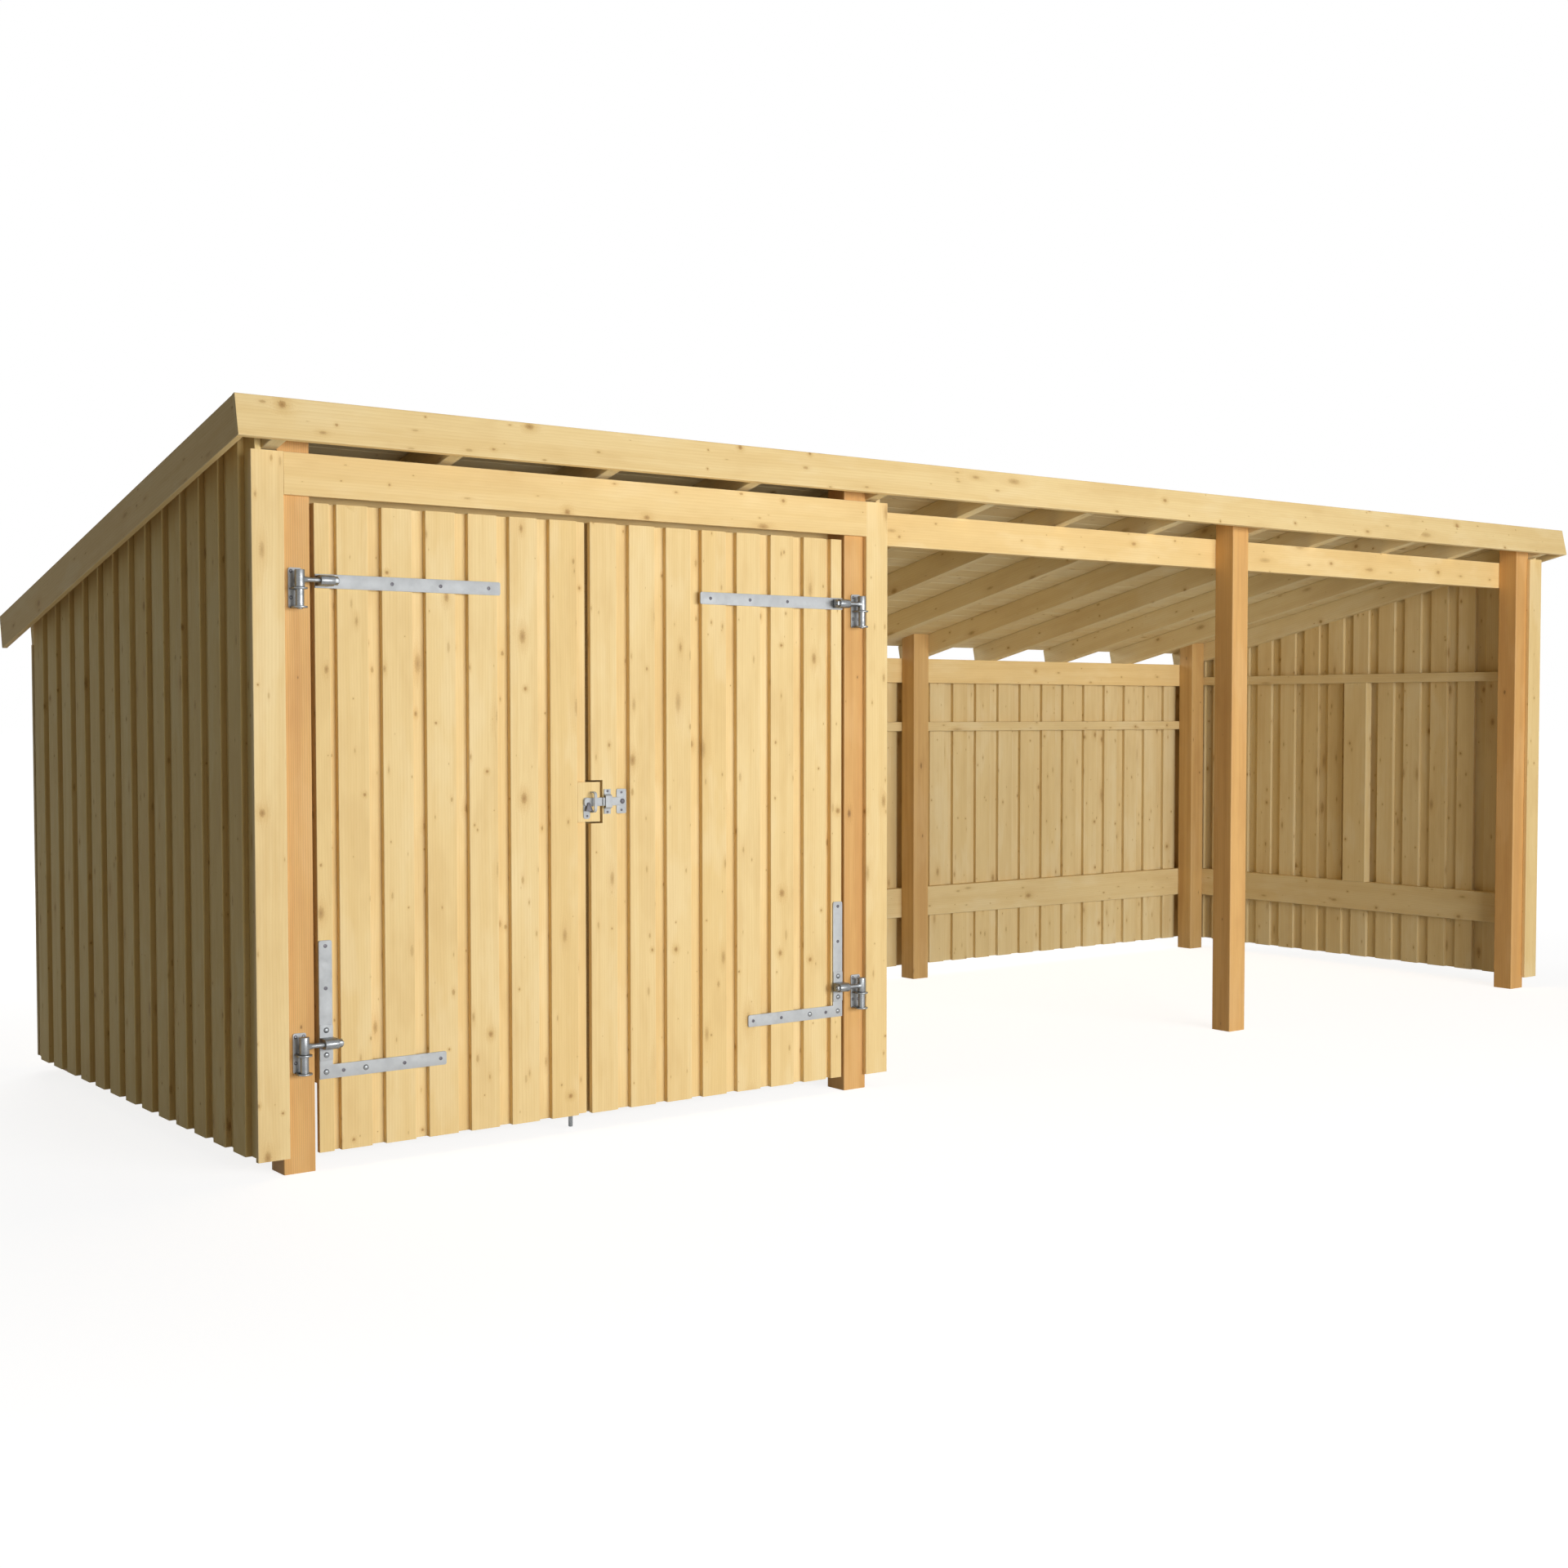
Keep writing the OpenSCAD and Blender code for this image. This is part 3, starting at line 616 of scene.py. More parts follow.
def cladSide(node, faces, wood, slot=None):
    # each board is cut to the roof's slope by itself, and notched where the slot's box meets it
    low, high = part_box(node)
    outX = low.x if faces < 0 else high.x
    bars = []
    for layer, runs in enumerate(boardRuns(high.y - frontY, cladding["sideFirst"])):
        x = sorted(outX - faces * shed["board"] * (layer + k) for k in (0, 1))
        for a, b in runs:
            bar = barBetween((x[0], frontY + a, groundGap), (x[1], frontY + b, high.z), "z", cladding["ease"], wood)
            cutAbove(bar, deckUnder, upDir)
            if slot and frontY + a < slot[1].y and frontY + b > slot[0].y:
                combine(bar, addBlock(*slot), "DIFFERENCE")
            bars.append(bar)
    return bars


beamLow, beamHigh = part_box("front_beam")
slotRoom = Vector((0.3, shed["fit"], shed["fit"]))
beamSlot = [Vector((postX[1], corner.y, corner.z)) + slotRoom * way for corner, way in ((beamLow, -1), (beamHigh, 1))]
for node, name, faces, wood, slot in (
        ("left_wall_boards", "leftWall", -1, shadedEndSpruce, None), ("right_wall_boards", "rightWall", 1, shadedWallSpruce, None),
        ("partition_boards", "partition", 1, shadedWallSpruce, beamSlot)):
    standJoined(name, cladSide(node, faces, wood, slot), node)

low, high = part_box("back_wall_boards")
outer, inner = boardRuns(high.x - low.x, cladding["backFirst"])
backBars = [barBetween((low.x + a, y, low.z), (low.x + b, y + shed["board"], high.z), "z", cladding["ease"], shadedWallSpruce)
            for runs, y in ((outer, high.y - shed["board"]), (inner, low.y)) for a, b in runs]
standJoined("backWall", backBars, "back_wall_boards")

rail = {"lowZ": 0.298, "lowHigh": 0.145, "midHigh": 0.045, "stud": (0.918, 0.140), "ease": 0.003}


def layRails(low, high, foot, along):
    # a broad rail near the ground and a slim one at the top of the box
    heights = (foot, foot + rail["lowHigh"]), (high.z - rail["midHigh"], high.z)
    return [barBetween((low.x, low.y, a), (high.x, high.y, b), along, rail["ease"], shadedWallSpruce) for a, b in heights]


for side in ("left_wall", "right_wall", "partition"):
    low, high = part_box(f"{side}_rails")
    bars = layRails(low, high, rail["lowZ"], "y")
    studLow, studHigh = rail["lowZ"] + rail["lowHigh"] + shed["fit"], high.z - rail["midHigh"] - shed["fit"]
    bars.append(barBetween((low.x, frontY + rail["stud"][0], studLow), (high.x, frontY + sum(rail["stud"]), studHigh),
                           "z", rail["ease"], shadedWallSpruce))
    standJoined(side.replace("_wall", "Wall") + "Rails", bars, f"{side}_rails")
low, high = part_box("back_wall_rails")
standJoined("backWallRails", layRails(low, high, low.z, "x"), "back_wall_rails")

trim = {"ease": 0.0025, "palest": "left_trim"}
for node, along in (("left_trim", "z"), ("middle_trim", "z"), ("right_trim", "z"), ("door_header", "x")):
    first, second = node.split("_")
    board = barBetween(*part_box(node), along, trim["ease"])
    if node == trim["palest"]:
        board.data.attributes["tone"].data.foreach_set("value", np.zeros(len(board.data.vertices), np.float32))
    standJoined(first + second.title(), [board], node)
print("walls clad")

leaf = {"edge": 0.046, "first": 0.0675, "innerSet": 0.012, "wide": 0.096, "pitch": 0.1392, "count": 6, "ease": 0.002,
        "innerGap": 0.003, "stripLow": 0.25, "stripEase": 0.001, "notchLift": 0.0055, "notchGap": 0.009, "notchOver": 0.1,
        "blockEase": 0.0015, "ledgeHigh": 0.095, "ledgeMiddle": 1.036, "ledgeEase": 0.003}


def leafRuns(reach):
    first, pitch, wide, count = (leaf[key] for key in ("first", "pitch", "wide", "count"))
    outer = [(0.0, leaf["edge"])] + [(first + i * pitch, first + i * pitch + wide) for i in range(count)]
    inner = []
    for i in range(count + 1):
        start = max(leaf["innerSet"], first + (i - 0.5) * pitch)
        inner.append((start, reach if i == count else start + wide))
    return outer, inner


blockLow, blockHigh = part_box("keeper_block")
notchLow, notchHigh = blockLow.z - leaf["notchLift"], blockHigh.z + leaf["notchLift"]
doorMiddle = (postX[0] + postX[1]) / 2
for side, faces in (("left", 1), ("right", -1)):
    low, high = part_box(f"{side}_door_boards")
    edge = low.x if faces > 0 else high.x
    outer, inner = leafRuns(high.x - low.x if faces > 0 else high.x - doorMiddle - leaf["innerGap"])
    strip = sorted((edge, edge + faces * leaf["innerSet"]))
    bars = [barBetween((strip[0], low.y + shed["board"], leaf["stripLow"]), (strip[1], high.y, high.z), "z",
                       leaf["stripEase"])]
    if faces < 0:
        # a bevelled batten covers the joint from behind, above and below the packing block
        for foot, top in ((low.z, notchLow), (notchHigh, high.z)):
            batten = barBetween((low.x, low.y + shed["board"], foot), (doorMiddle, high.y, top), "z", leaf["ease"])
            cutAbove(batten, (low.x, high.y, 0), (-1, -1, 0))
            bars.append(batten)
    for runs, y in ((outer, low.y), (inner, low.y + shed["board"])):
        for a, b in runs:
            x = sorted((edge + faces * a, edge + faces * b))
            bars.append(barBetween((x[0], y, low.z), (x[1], y + shed["board"], high.z), "z", leaf["ease"]))
    standJoined(f"{side}Leaf", bars, f"{side}_door_boards", f"{side}_door")
    low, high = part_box(f"{side}_door_ledges")
    tall = leaf["ledgeHigh"]
    bars = [barBetween((low.x, low.y, z), (high.x, high.y, z + tall), "x", leaf["ledgeEase"])
            for z in (low.z, leaf["ledgeMiddle"] - tall / 2, high.z - tall)]
    standJoined(f"{side}Ledges", bars, f"{side}_door_ledges", f"{side}_door")

standJoined("keeperBlock", [barBetween(blockLow, blockHigh, "z", leaf["blockEase"])], "keeper_block", "left_door")
low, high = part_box("meeting_board")
board = barBetween(low, high, "z", leaf["ease"])
over = leaf["notchOver"]
notch = addBlock((low.x - over, low.y - over, notchLow), (blockHigh.x + leaf["notchGap"], high.y + over, notchHigh))
combine(board, notch, "DIFFERENCE")
standJoined("meetingBoard", [board], "meeting_board", "right_door")
print("doors hung")


def at(x, y, z):
    # ironwork is measured in millimetres from the first post's middle and front face
    return Vector((postX[0] + x / 1000, frontY + y / 1000, z / 1000))


def throughEdge(a, b):
    # an edge through a plate's thickness
    return abs(a.y - b.y) > 1e-3


def rimEdge(axis, rims, middle=None, beyond=0.0):
    # edges in the rims' planes, further than some way from a middle line
    others = [i for i in range(3) if i != axis]

    def chosen(a, b):
        if abs(a[axis] - b[axis]) > 1e-6 or min(abs(a[axis] - rim[axis]) for rim in rims) > 1e-6:
            return False
        return middle is None or min(math.hypot(*(v[i] - middle[i] for i in others)) for v in (a, b)) > beyond
    return chosen


def makePlate(low, high, corner, ease):
    plate = addBlock(low, high, strapSteel)
    roundEdges(plate, throughEdge, corner)
    easeSharp(plate, ease)
    return plate


def addRod(start, end, radius, sides=32, endRadius=None):
    axis = end - start
    rod = newShape(bpy.ops.mesh.primitive_cone_add, vertices=sides, radius1=radius, depth=axis.length,
                   radius2=radius if endRadius is None else endRadius)
    rod.data.transform(aimed((start + end) / 2, axis))
    rod.data.materials.append(forgedSteel)
    return rod


def pull(piece, chosen, shift):
    # extrude the face whose middle and normal are chosen
    clearChoice(piece, "FACE")
    for face in piece.data.polygons:
        face.select = bool(chosen(face.center, face.normal))
    inEditMode(piece, lambda: bpy.ops.mesh.extrude_region_move(TRANSFORM_OT_translate={"value": shift}))


def bendStrip(path, across, thick, ease):
    # a strip led along a path edge by edge, thickened and eased
    strip = newShape(bpy.ops.mesh.primitive_plane_add, size=1)
    for vertex, place in zip(strip.data.vertices, (end + across * way for end in path[:2] for way in (-0.5, 0.5))):
        vertex.co = place
    for here, there in zip(path[1:], path[2:]):
        ends = [here - across / 2, here + across / 2]
        chooseEdges(strip, lambda a, b: max(min((v - end).length for end in ends) for v in (a, b)) < 1e-6)
        inEditMode(strip, lambda: bpy.ops.mesh.extrude_edges_move(TRANSFORM_OT_translate={"value": there - here}))
    thicken = strip.modifiers.new("thicken", "SOLIDIFY")
    thicken.thickness, thicken.offset, thicken.use_even_offset = thick, 0.0, True
    activate(strip)
    bpy.ops.object.modifier_apply(modifier="thicken")
    easeSharp(strip, ease)
    strip.data.materials.append(strapSteel)
    return strip


def bendPath(corners, radius, steps=5):
    # corners of a path rounded by arcs
    path = [corners[0]]
    for before, here, after in zip(corners, corners[1:], corners[2:]):
        back, ahead = (before - here).normalized(), (after - here).normalized()
        half = back.angle(ahead) / 2
        middle = here + (back + ahead).normalized() * radius / math.sin(half)
        start, end = here + back * radius / math.tan(half), here + ahead * radius / math.tan(half)
        a, b = start - middle, end - middle
        turn = a.angle(b)
        for k in range(steps + 1):
            share = k / steps
            path.append(middle + (a * math.sin((1 - share) * turn) + b * math.sin(share * turn)) / math.sin(turn))
    return path + [corners[-1]]


heads = {}
bolt = {"screw": 0.0056, "smallScrew": 0.0039, "screwHigh": 0.0018, "screwRound": 0.0008, "socket": 0.52,
        "socketTop": 0.002, "sunk": 0.0002, "dome": 0.0085, "domeFlat": 0.55}


def makeHead(kind):
    # screws: flat head with a six-sided socket; dome: round coach-bolt head; knob: the slide bolt's dark stud
    under = Vector((0, 0, -bolt["sunk"]))
    if kind in ("screw", "smallScrew"):
        head = newShape(bpy.ops.mesh.primitive_cylinder_add, vertices=24, radius=bolt[kind], depth=bolt["screwHigh"])
        roundEdges(head, lambda a, b: min(a.z, b.z) > 0, bolt["screwRound"], 2)
        head.data.materials.append(darkSteel)
        combine(head, addRod(under, zDir * bolt["socketTop"], bolt["socket"] * bolt[kind], 6), "DIFFERENCE")
    else:
        head = newShape(bpy.ops.mesh.primitive_uv_sphere_add, segments=24, ring_count=12, radius=bolt["dome"])
        head.scale = (1, 1, bolt["domeFlat"])
        bpy.ops.object.transform_apply(location=False, rotation=False, scale=True)
        head.data.materials.append(darkSteel if kind == "knob" else forgedSteel)
        cutAbove(head, under, (0, 0, -1))
    return head


def placeHead(kind, place):
    if kind not in heads:
        heads[kind] = makeHead(kind)
    mesh = heads[kind].data.copy()
    mesh.transform(aimed(place, -yDir))
    return addObject("head", mesh)


def finishIron(name, parts, node, body):
    piece = joinBars(name, parts)
    bpy.ops.object.shade_smooth_by_angle(angle=math.radians(38))
    standFor(piece, node, body)
    return piece


def mirrored(name, piece, node, body):
    # the right leaf's ironwork mirrors the left's about the middle of the doorway
    mesh = piece.data.copy()
    mesh.transform(Matrix.Translation((2 * doorMiddle, 0, 0)) @ Matrix.Scale(-1, 4, xDir))
    twin = addObject(name, mesh)

    def work():
        bpy.ops.mesh.select_all(action="SELECT")
        bpy.ops.mesh.remove_doubles(threshold=1e-6)
        bpy.ops.mesh.normals_make_consistent(inside=False)
    inEditMode(twin, work)
    standFor(twin, node, body)


hinge = {"edge": 59.5, "thick": 5, "wide": 40, "upper": 1691, "lower": 368, "strap": 590, "arm": 400, "armLow": 263,
         "saddle": 42, "saddleHigh": 30, "pin": -38, "rod": 6.5, "play": 0.3, "eye": 14, "eyeHigh": 50, "eyeDrop": 22,
         "upperScrews": (296, 451, 610), "armScrews": (132, 323, 440), "sideScrews": (525, 647), "screwSink": 0.5,
         "seat": (316, 420), "seatThick": 2, "seatCorner": 0.004, "seatEase": 0.0005, "armBolt": 201,
         "seatBolts": (332, 404), "corner": 0.006, "ease": 0.0008, "pastBore": 0.0085, "overcut": 5}


def hingeScrews(places):
    return [placeHead("screw", at(x, -hinge["thick"] - hinge["screwSink"], z)) for x, z in places]


def makeSaddle(z):
    half, pin = hinge["saddleHigh"] / 2, hinge["pin"]
    start, end, nose = hinge["edge"], hinge["edge"] + hinge["saddle"], pin - half
    block = addBlock(at(start, nose, z - half), at(end, -hinge["thick"], z + half), forgedSteel)
    front = at(0, nose, 0).y
    roundEdges(block, lambda a, b: max(abs(a.y - front), abs(b.y - front)) < 1e-5 and abs(a.x - b.x) > 1e-3,
               (half - 0.05) / 1000, 8)
    hole = [at(x, pin, z) for x in (start - hinge["overcut"], end + hinge["overcut"])]
    combine(block, addRod(*hole, (hinge["rod"] + hinge["play"]) / 1000), "DIFFERENCE")
    roundEdges(block, rimEdge(0, [at(start, 0, 0), at(end, 0, 0)], at(0, pin, z), hinge["pastBore"]), hinge["ease"], 2)
    return block


def makeUpperStrap():
    middle, half, start = hinge["upper"], hinge["wide"] / 2, hinge["edge"]
    bar = addBlock(at(start, -hinge["thick"], middle - half), at(start + hinge["wide"], 0, middle + half), strapSteel)
    pull(bar, lambda c, n: n.x > 0.9, ((hinge["strap"] - hinge["wide"]) / 1000, 0, 0))
    tip = at(start + hinge["strap"] - 1, 0, 0).x
    roundEdges(bar, lambda a, b: min(a.x, b.x) > tip and throughEdge(a, b), hinge["corner"])
    easeSharp(bar, hinge["ease"])
    parts = [bar, makeSaddle(middle)] + hingeScrews((x, middle) for x in hinge["upperScrews"])
    return finishIron("leftUpperStrap", parts, "left_upper_strap", "left_door")


def makeCornerStrap():
    edge, wide, thick, low = hinge["edge"], hinge["wide"], hinge["thick"], hinge["armLow"]
    grow, corner = (hinge["arm"] - wide) / 1000, at(edge + wide, 0, 0).x
    bar = addBlock(at(edge, -thick, low), at(edge + wide, 0, low + wide), strapSteel)
    pull(bar, lambda c, n: n.x > 0.9, (grow, 0, 0))
    pull(bar, lambda c, n: n.z > 0.9 and c.x < corner, (0, 0, grow))
    top, tip = at(0, 0, low + hinge["arm"] - 1).z, at(edge + hinge["arm"] - 1, 0, 0).x
    roundEdges(bar, lambda a, b: throughEdge(a, b) and (min(a.z, b.z) > top or min(a.x, b.x) > tip), hinge["corner"])
    easeSharp(bar, hinge["ease"])
    face = -thick - hinge["seatThick"]
    low, high = hinge["seat"]
    seat = makePlate(at(edge, face, low), at(edge + wide, -thick, high), hinge["seatCorner"], hinge["seatEase"])
    middle, line = edge + wide / 2, hinge["armLow"] + wide / 2
    parts = [bar, seat, makeSaddle(hinge["lower"])]
    parts += hingeScrews([(x, line) for x in hinge["armScrews"]] + [(middle, z) for z in hinge["sideScrews"]])
    parts += [placeHead("dome", at(x, -thick, line)) for x in (hinge["armBolt"], middle)]
    parts += [placeHead("dome", at(middle, face, z)) for z in hinge["seatBolts"]]
    return finishIron("leftCornerStrap", parts, "left_corner_strap", "left_door")


# the neck swells into the eye in two cones: start, end, first and last radius
eyeBolt = {"neck": ((6, 20, 11.7, 7.8), (19, 30, 7.9, 6.5)), "shank": 12, "past": 15, "bore": 0.0083, "rim": 0.0016,
           "pastBore": 0.012, "nut": 0.0127, "nutHigh": 12, "nutEase": 0.0009}


def makeEyeBolt(z):
    pin, foot, end = hinge["pin"], z - hinge["eyeDrop"], hinge["edge"] + hinge["saddle"]
    head = foot + hinge["eyeHigh"]
    eye = addRod(at(0, pin, foot), at(0, pin, head), hinge["eye"] / 1000, 40)
    for start, stop, wide, slim in eyeBolt["neck"]:
        combine(eye, addRod(at(start, pin, z), at(stop, pin, z), wide / 1000, endRadius=slim / 1000), "UNION")
    shank = addRod(at(eyeBolt["shank"], pin, z), at(end + eyeBolt["past"], pin, z), hinge["rod"] / 1000)
    combine(eye, shank, "UNION")
    hole = [at(0, pin, up) for up in (foot - hinge["overcut"], head + hinge["overcut"])]
    combine(eye, addRod(*hole, eyeBolt["bore"]), "DIFFERENCE")
    roundEdges(eye, rimEdge(2, [at(0, 0, foot), at(0, 0, head)], at(0, pin, 0), eyeBolt["pastBore"]), eyeBolt["rim"], 3)
    nut = addRod(at(end, pin, z), at(end + eyeBolt["nutHigh"], pin, z), eyeBolt["nut"], 6)
    roundEdges(nut, lambda a, b: True, eyeBolt["nutEase"], 2)
    return [eye, nut]


pintle = {"below": 80, "plate": (20, 4, 115), "tab": 5, "tabRadius": 0.022, "tabHalf": 16, "tabBack": -3.5, "tabEase": 0.001,
          "barrel": 0.012, "pin": 0.008, "pinRound": 0.002, "foot": 3, "footRound": 0.0015, "screwX": (-12, 12),
          "screwUp": (30, 105), "screwFace": -3.7}


def makePintle(z):
    pin, low, tab = hinge["pin"], z - pintle["below"], pintle["tab"]
    seat, head = z - hinge["eyeDrop"] - hinge["play"], z - hinge["eyeDrop"] + hinge["eyeHigh"]
    half, thick, high = pintle["plate"]
    parts = [makePlate(at(-half, -thick, low), at(half, 0, low + high), hinge["corner"], hinge["ease"])]
    for foot in (low, seat - tab):
        lug = addRod(at(0, pin, foot), at(0, pin, foot + tab), pintle["tabRadius"], 40)
        root = addBlock(at(-pintle["tabHalf"], pin, foot), at(pintle["tabHalf"], pintle["tabBack"], foot + tab))
        combine(lug, root, "UNION")
        roundEdges(lug, rimEdge(2, [at(0, 0, foot), at(0, 0, foot + tab)]), pintle["tabEase"], 2)
        parts.append(lug)
    barrel = addRod(at(0, pin, low + tab), at(0, pin, seat - tab), pintle["barrel"])
    rod = addRod(at(0, pin, seat - 1), at(0, pin, head), pintle["pin"])
    top = at(0, 0, head - 1).z
    roundEdges(rod, lambda a, b: min(a.z, b.z) > top, pintle["pinRound"], 3)
    foot = addRod(at(0, pin, low - pintle["foot"]), at(0, pin, low + 1), pintle["pin"])
    under = at(0, 0, low - pintle["foot"] + 1).z
    roundEdges(foot, lambda a, b: max(a.z, b.z) < under, pintle["footRound"], 3)
    screws = [at(x, pintle["screwFace"], low + up) for x in pintle["screwX"] for up in pintle["screwUp"]]
    return parts + [barrel, rod, foot] + [placeHead("screw", place) for place in screws]


left = {"UpperStrap": makeUpperStrap(), "CornerStrap": makeCornerStrap()}
for name, make, node, body in (
        ("EyeBolts", makeEyeBolt, "eye_bolts", "left_door"), ("Pintles", makePintle, "pintles", "root")):
    left[name] = finishIron(f"left{name}", make(hinge["upper"]) + make(hinge["lower"]), f"left_{node}", body)
for name, node, body in (("UpperStrap", "upper_strap", "right_door"), ("CornerStrap", "corner_strap", "right_door"),
                         ("EyeBolts", "eye_bolts", "right_door"), ("Pintles", "pintles", "root")):
    mirrored(f"right{name}", left[name], f"right_{node}", body)

latch = {"line": 1036, "bar": 13, "barThick": 6, "barSink": 0.2, "barEase": 0.0008, "plate": 3, "plateEase": 0.0006,
         "screwSink": 0.5}
boltFront = -latch["plate"] - latch["barThick"]


def latchBar(start, end, chosen, corner, segments=4):
    # one length of the bolt's bar
    bar = addBlock(at(start, boltFront, latch["line"] - latch["bar"]),
                   at(end, -latch["plate"] + latch["barSink"], latch["line"] + latch["bar"]), strapSteel)
    roundEdges(bar, lambda a, b: throughEdge(a, b) and chosen(a, b), corner, segments)
    easeSharp(bar, latch["barEase"])
    return bar


# the guide's corners are given as depth and height from the bolt's line
slideBolt = {"half": 39, "plate": (1059, 1095), "corner": 0.005, "bar": (1006, 1089), "guide": 1025, "guideWide": 0.024,
             "guideThick": 0.0038, "guideBend": 0.0025, "guideFace": -4.4, "guideScrew": 33, "plateScrew": 28,
             "ease": 0.0005, "path": ((-2, -39), (-2, -22), (-12.5, -17.5), (-12.5, 17.5), (-2, 22), (-2, 39))}


def makeSlideBolt():
    z, half, x = latch["line"], slideBolt["half"], slideBolt["guide"]
    (start, end), (barStart, barEnd) = slideBolt["plate"], slideBolt["bar"]
    plate = makePlate(at(start, -latch["plate"], z - half), at(end, 0, z + half), slideBolt["corner"], latch["plateEase"])
    far = at(barEnd - 1, 0, 0).x
    bar = latchBar(barStart, barEnd, lambda a, b: min(a.x, b.x) > far, slideBolt["corner"])
    path = bendPath([at(x, y, z + up) for y, up in slideBolt["path"]], slideBolt["guideBend"])
    guide = bendStrip(path, xDir * slideBolt["guideWide"], slideBolt["guideThick"], slideBolt["ease"])
    middle = (start + end) / 2
    parts = [plate, bar, guide, placeHead("knob", at(middle, boltFront, z))]
    parts += [placeHead("smallScrew", at(place, face, z + way * away)) for place, face, away in (
        (middle, -latch["plate"] - latch["screwSink"], slideBolt["plateScrew"]),
        (x, slideBolt["guideFace"], slideBolt["guideScrew"])) for way in (-1, 1)]
    return finishIron("slideBolt", parts, "slide_bolt", "right_door")


keeper = {"bar": (938, 1003), "barCorner": 0.010, "wide": 24, "below": 53, "above": 14, "corner": 0.008, "hoop": 969,
          "hoopWide": 0.010, "hoopReach": 24.8, "hoopHalf": 30.8, "hoopThick": 0.0045, "hoopBend": 0.011, "hoopEase": 0.001,
          "hoopSink": 0.2, "flap": ((1, -17, -28), (27, -9, -1)), "flapTop": (0.25, 0.5, 1), "flapMiddle": (14, -9, -1),
          "flapEase": 0.0012, "screw": (13, -44)}


def makeKeeper():
    z, (start, end) = latch["line"], keeper["bar"]
    plate = makePlate(at(start, -latch["plate"], z - keeper["below"]), at(start + keeper["wide"], 0, z + keeper["above"]),
                      keeper["corner"], latch["plateEase"])
    near = at(start + 1, 0, 0).x
    bar = latchBar(start, end, lambda a, b: max(a.x, b.x) < near, keeper["barCorner"], 6)
    x, half, reach = keeper["hoop"], keeper["hoopHalf"], -keeper["hoopReach"]
    sink = keeper["hoopSink"]
    corners = [at(x, y, z + up) for y, up in ((sink, -half), (reach, -half), (reach, half), (sink, half))]
    path = bendPath(corners, keeper["hoopBend"], 8)
    hoop = bendStrip(path, xDir * keeper["hoopWide"], keeper["hoopThick"], keeper["hoopEase"])
    low, high, middle = (at(start + a, b, z + c) for a, b, c in (*keeper["flap"], keeper["flapMiddle"]))
    # the flap is dark steel: painted shade for its underside, which lies in shadow
    flap = addBlock(low, high, darkSteel)
    clearChoice(flap, "VERT")
    for corner in flap.data.vertices:
        corner.select = corner.co.z > (low.z + high.z) / 2
    inEditMode(flap, lambda: bpy.ops.transform.resize(value=keeper["flapTop"], center_override=middle))
    easeSharp(flap, keeper["flapEase"])
    side, up = keeper["screw"]
    screw = placeHead("smallScrew", at(start + side, -latch["plate"] - latch["screwSink"], z + up))
    return finishIron("boltKeeper", [plate, bar, hoop, flap, screw], "bolt_keeper", "left_door")


# the loops' corners are given across the rod and back from the ledges
dropBolt = {"inset": 42, "back": 38, "axis": 11, "rod": 0.007, "footRound": 0.003, "handle": (-6, 22), "handleRound": 0.002,
            "loops": (138, 327), "path": ((-21, 1), (-9, 1), (-9, 18.1), (9, 18.1), (9, 1), (21, 1)), "bend": 0.004,
            "loopWide": 0.024, "loopThick": 0.002, "loopEase": 0.0004}


def makeDropBolt():
    low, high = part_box("drop_bolt")
    leafLow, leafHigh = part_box("left_door_boards")
    x, back = hinge["edge"] + (leafHigh.x - leafLow.x) * 1000 - dropBolt["inset"], dropBolt["back"]
    y, foot, head = back + dropBolt["axis"], low.z * 1000, (high.z - dropBolt["rod"]) * 1000
    rod = addRod(at(x, y, foot), at(x, y, head), dropBolt["rod"], 28)
    end = at(0, 0, foot + 1).z
    roundEdges(rod, lambda a, b: max(a.z, b.z) < end, dropBolt["footRound"], 3)
    start, stop = (at(x + side, y, head) for side in dropBolt["handle"])
    handle = addRod(start, stop, dropBolt["rod"], 28)
    roundEdges(handle, lambda a, b: abs(a.x - b.x) < 1e-6, dropBolt["handleRound"], 3)
    parts = [rod, handle]
    for up in dropBolt["loops"]:
        path = bendPath([at(x + side, back + out, foot + up) for side, out in dropBolt["path"]], dropBolt["bend"])
        parts.append(bendStrip(path, zDir * dropBolt["loopWide"], dropBolt["loopThick"], dropBolt["loopEase"]))
    return finishIron("dropBolt", parts, "drop_bolt", "left_door")


makeSlideBolt()
makeKeeper()
makeDropBolt()
for pattern in (*heads.values(), *sawn.values()):
    bpy.data.objects.remove(pattern)
print("ironwork finished")

view = {"place": (-5.23076, -6.33944, 1.31546), "right": (0.788864, -0.614568, 0.000320),
        "up": (0.023447, 0.030616, 0.999256), "back": (-0.614121, -0.788270, 0.038562),
        "lens": 44.51, "sensor": 36.0, "shift": (-0.0290, 0.0025)}
cameraData = bpy.data.cameras.new("camera")
cameraData.lens, cameraData.sensor_width = view["lens"], view["sensor"]
cameraData.shift_x, cameraData.shift_y = view["shift"]
camera = addObject("camera", cameraData)
camera.matrix_world = stood(view["place"], view["right"], view["up"], view["back"])
bpy.context.scene.camera = camera

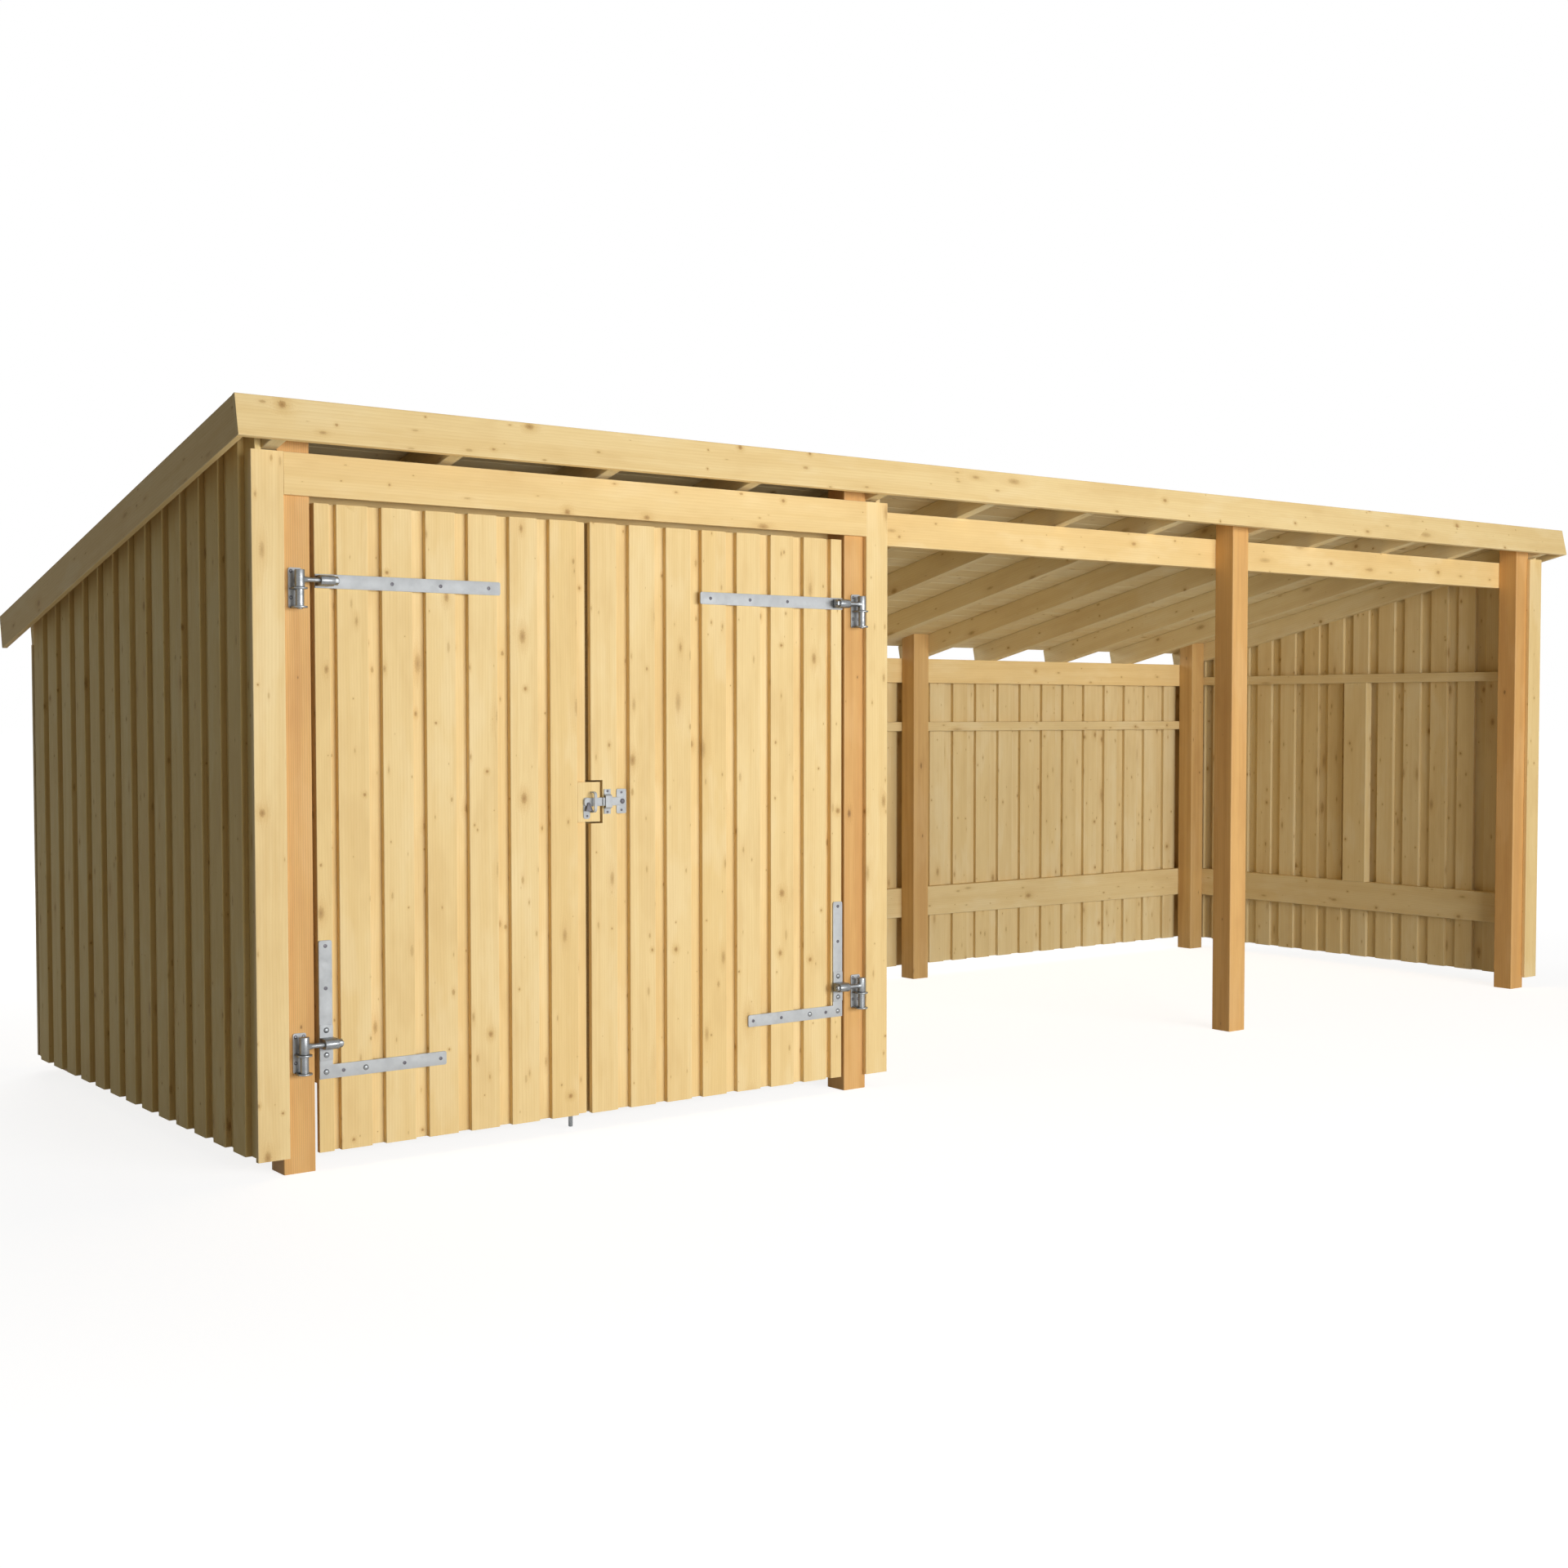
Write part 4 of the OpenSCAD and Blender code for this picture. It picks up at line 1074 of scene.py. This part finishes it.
studio = {"floor": 240.0, "floorLit": 0.5, "floorFill": 0.08, "glowNear": 0.84, "glowFar": 1.0, "glowStart": 3.6,
          "glowEnd": 9.0, "world": 0.06, "keyLight": (795.0, (-0.1, -10.0, 1.75), (0.0, 0.0, 1.0), (8.0, 3.0)),
          "backLight": (360.0, (0.9, 8.6, 3.4), (0.0, 1.0, 0.9), (5.5, 3.0))}


def seenBy(w):
    # rays that look, apart from those that light
    rays = w.add("ShaderNodeLightPath").outputs
    return w.math("MAXIMUM", w.math("MAXIMUM", rays["Is Camera Ray"], rays["Is Glossy Ray"]), rays["Is Transmission Ray"])


def makeFloor():
    # white to the eye, with the shed's shadow near it
    material, w, surface = newMaterial("paleFloor")
    w.tree.nodes.remove(surface)
    seen = seenBy(w)
    place = w.add("ShaderNodeTexCoord").outputs["Object"]
    strength = w.span(w.vector("LENGTH", place), *(studio[key] for key in ("glowStart", "glowEnd", "glowNear", "glowFar")))
    strength = w.span(seen, 0.0, 1.0, studio["floorFill"], strength, smooth=False)
    glow = w.feed(w.add("ShaderNodeEmission"), Color=(1, 1, 1, 1), Strength=strength)
    matt = w.feed(w.add("ShaderNodeBsdfDiffuse"), Color=(*[studio["floorLit"]] * 3, 1))
    both = w.add("ShaderNodeAddShader")
    w.link(glow[0], both.inputs[0])
    w.link(matt[0], both.inputs[1])
    w.feed(w.tree.nodes["Material Output"], Surface=both.outputs[0])
    return material


floor = newShape(bpy.ops.mesh.primitive_plane_add, size=studio["floor"])
floor.name = "floor"
floor.data.materials.append(makeFloor())

world = bpy.data.worlds.new("studio")
bpy.context.scene.world = world
world.use_nodes = True
w = Wires(world.node_tree)
strength = w.span(seenBy(w), 0.0, 1.0, studio["world"], 1.0, smooth=False)
w.feed(world.node_tree.nodes["Background"], Color=(1, 1, 1, 1), Strength=strength)
for name in ("keyLight", "backLight"):
    watts, place, aim, extent = studio[name]
    lamp = bpy.data.lights.new(name, "AREA")
    lamp.energy, lamp.shape = watts, "RECTANGLE"
    lamp.size, lamp.size_y = extent
    stand = addObject(name, lamp)
    stand.location = place
    stand.rotation_euler = (Vector(aim) - Vector(place)).to_track_quat("-Z", "Y").to_euler()
bpy.context.scene.view_settings.view_transform = "Standard"

print("scene ready")
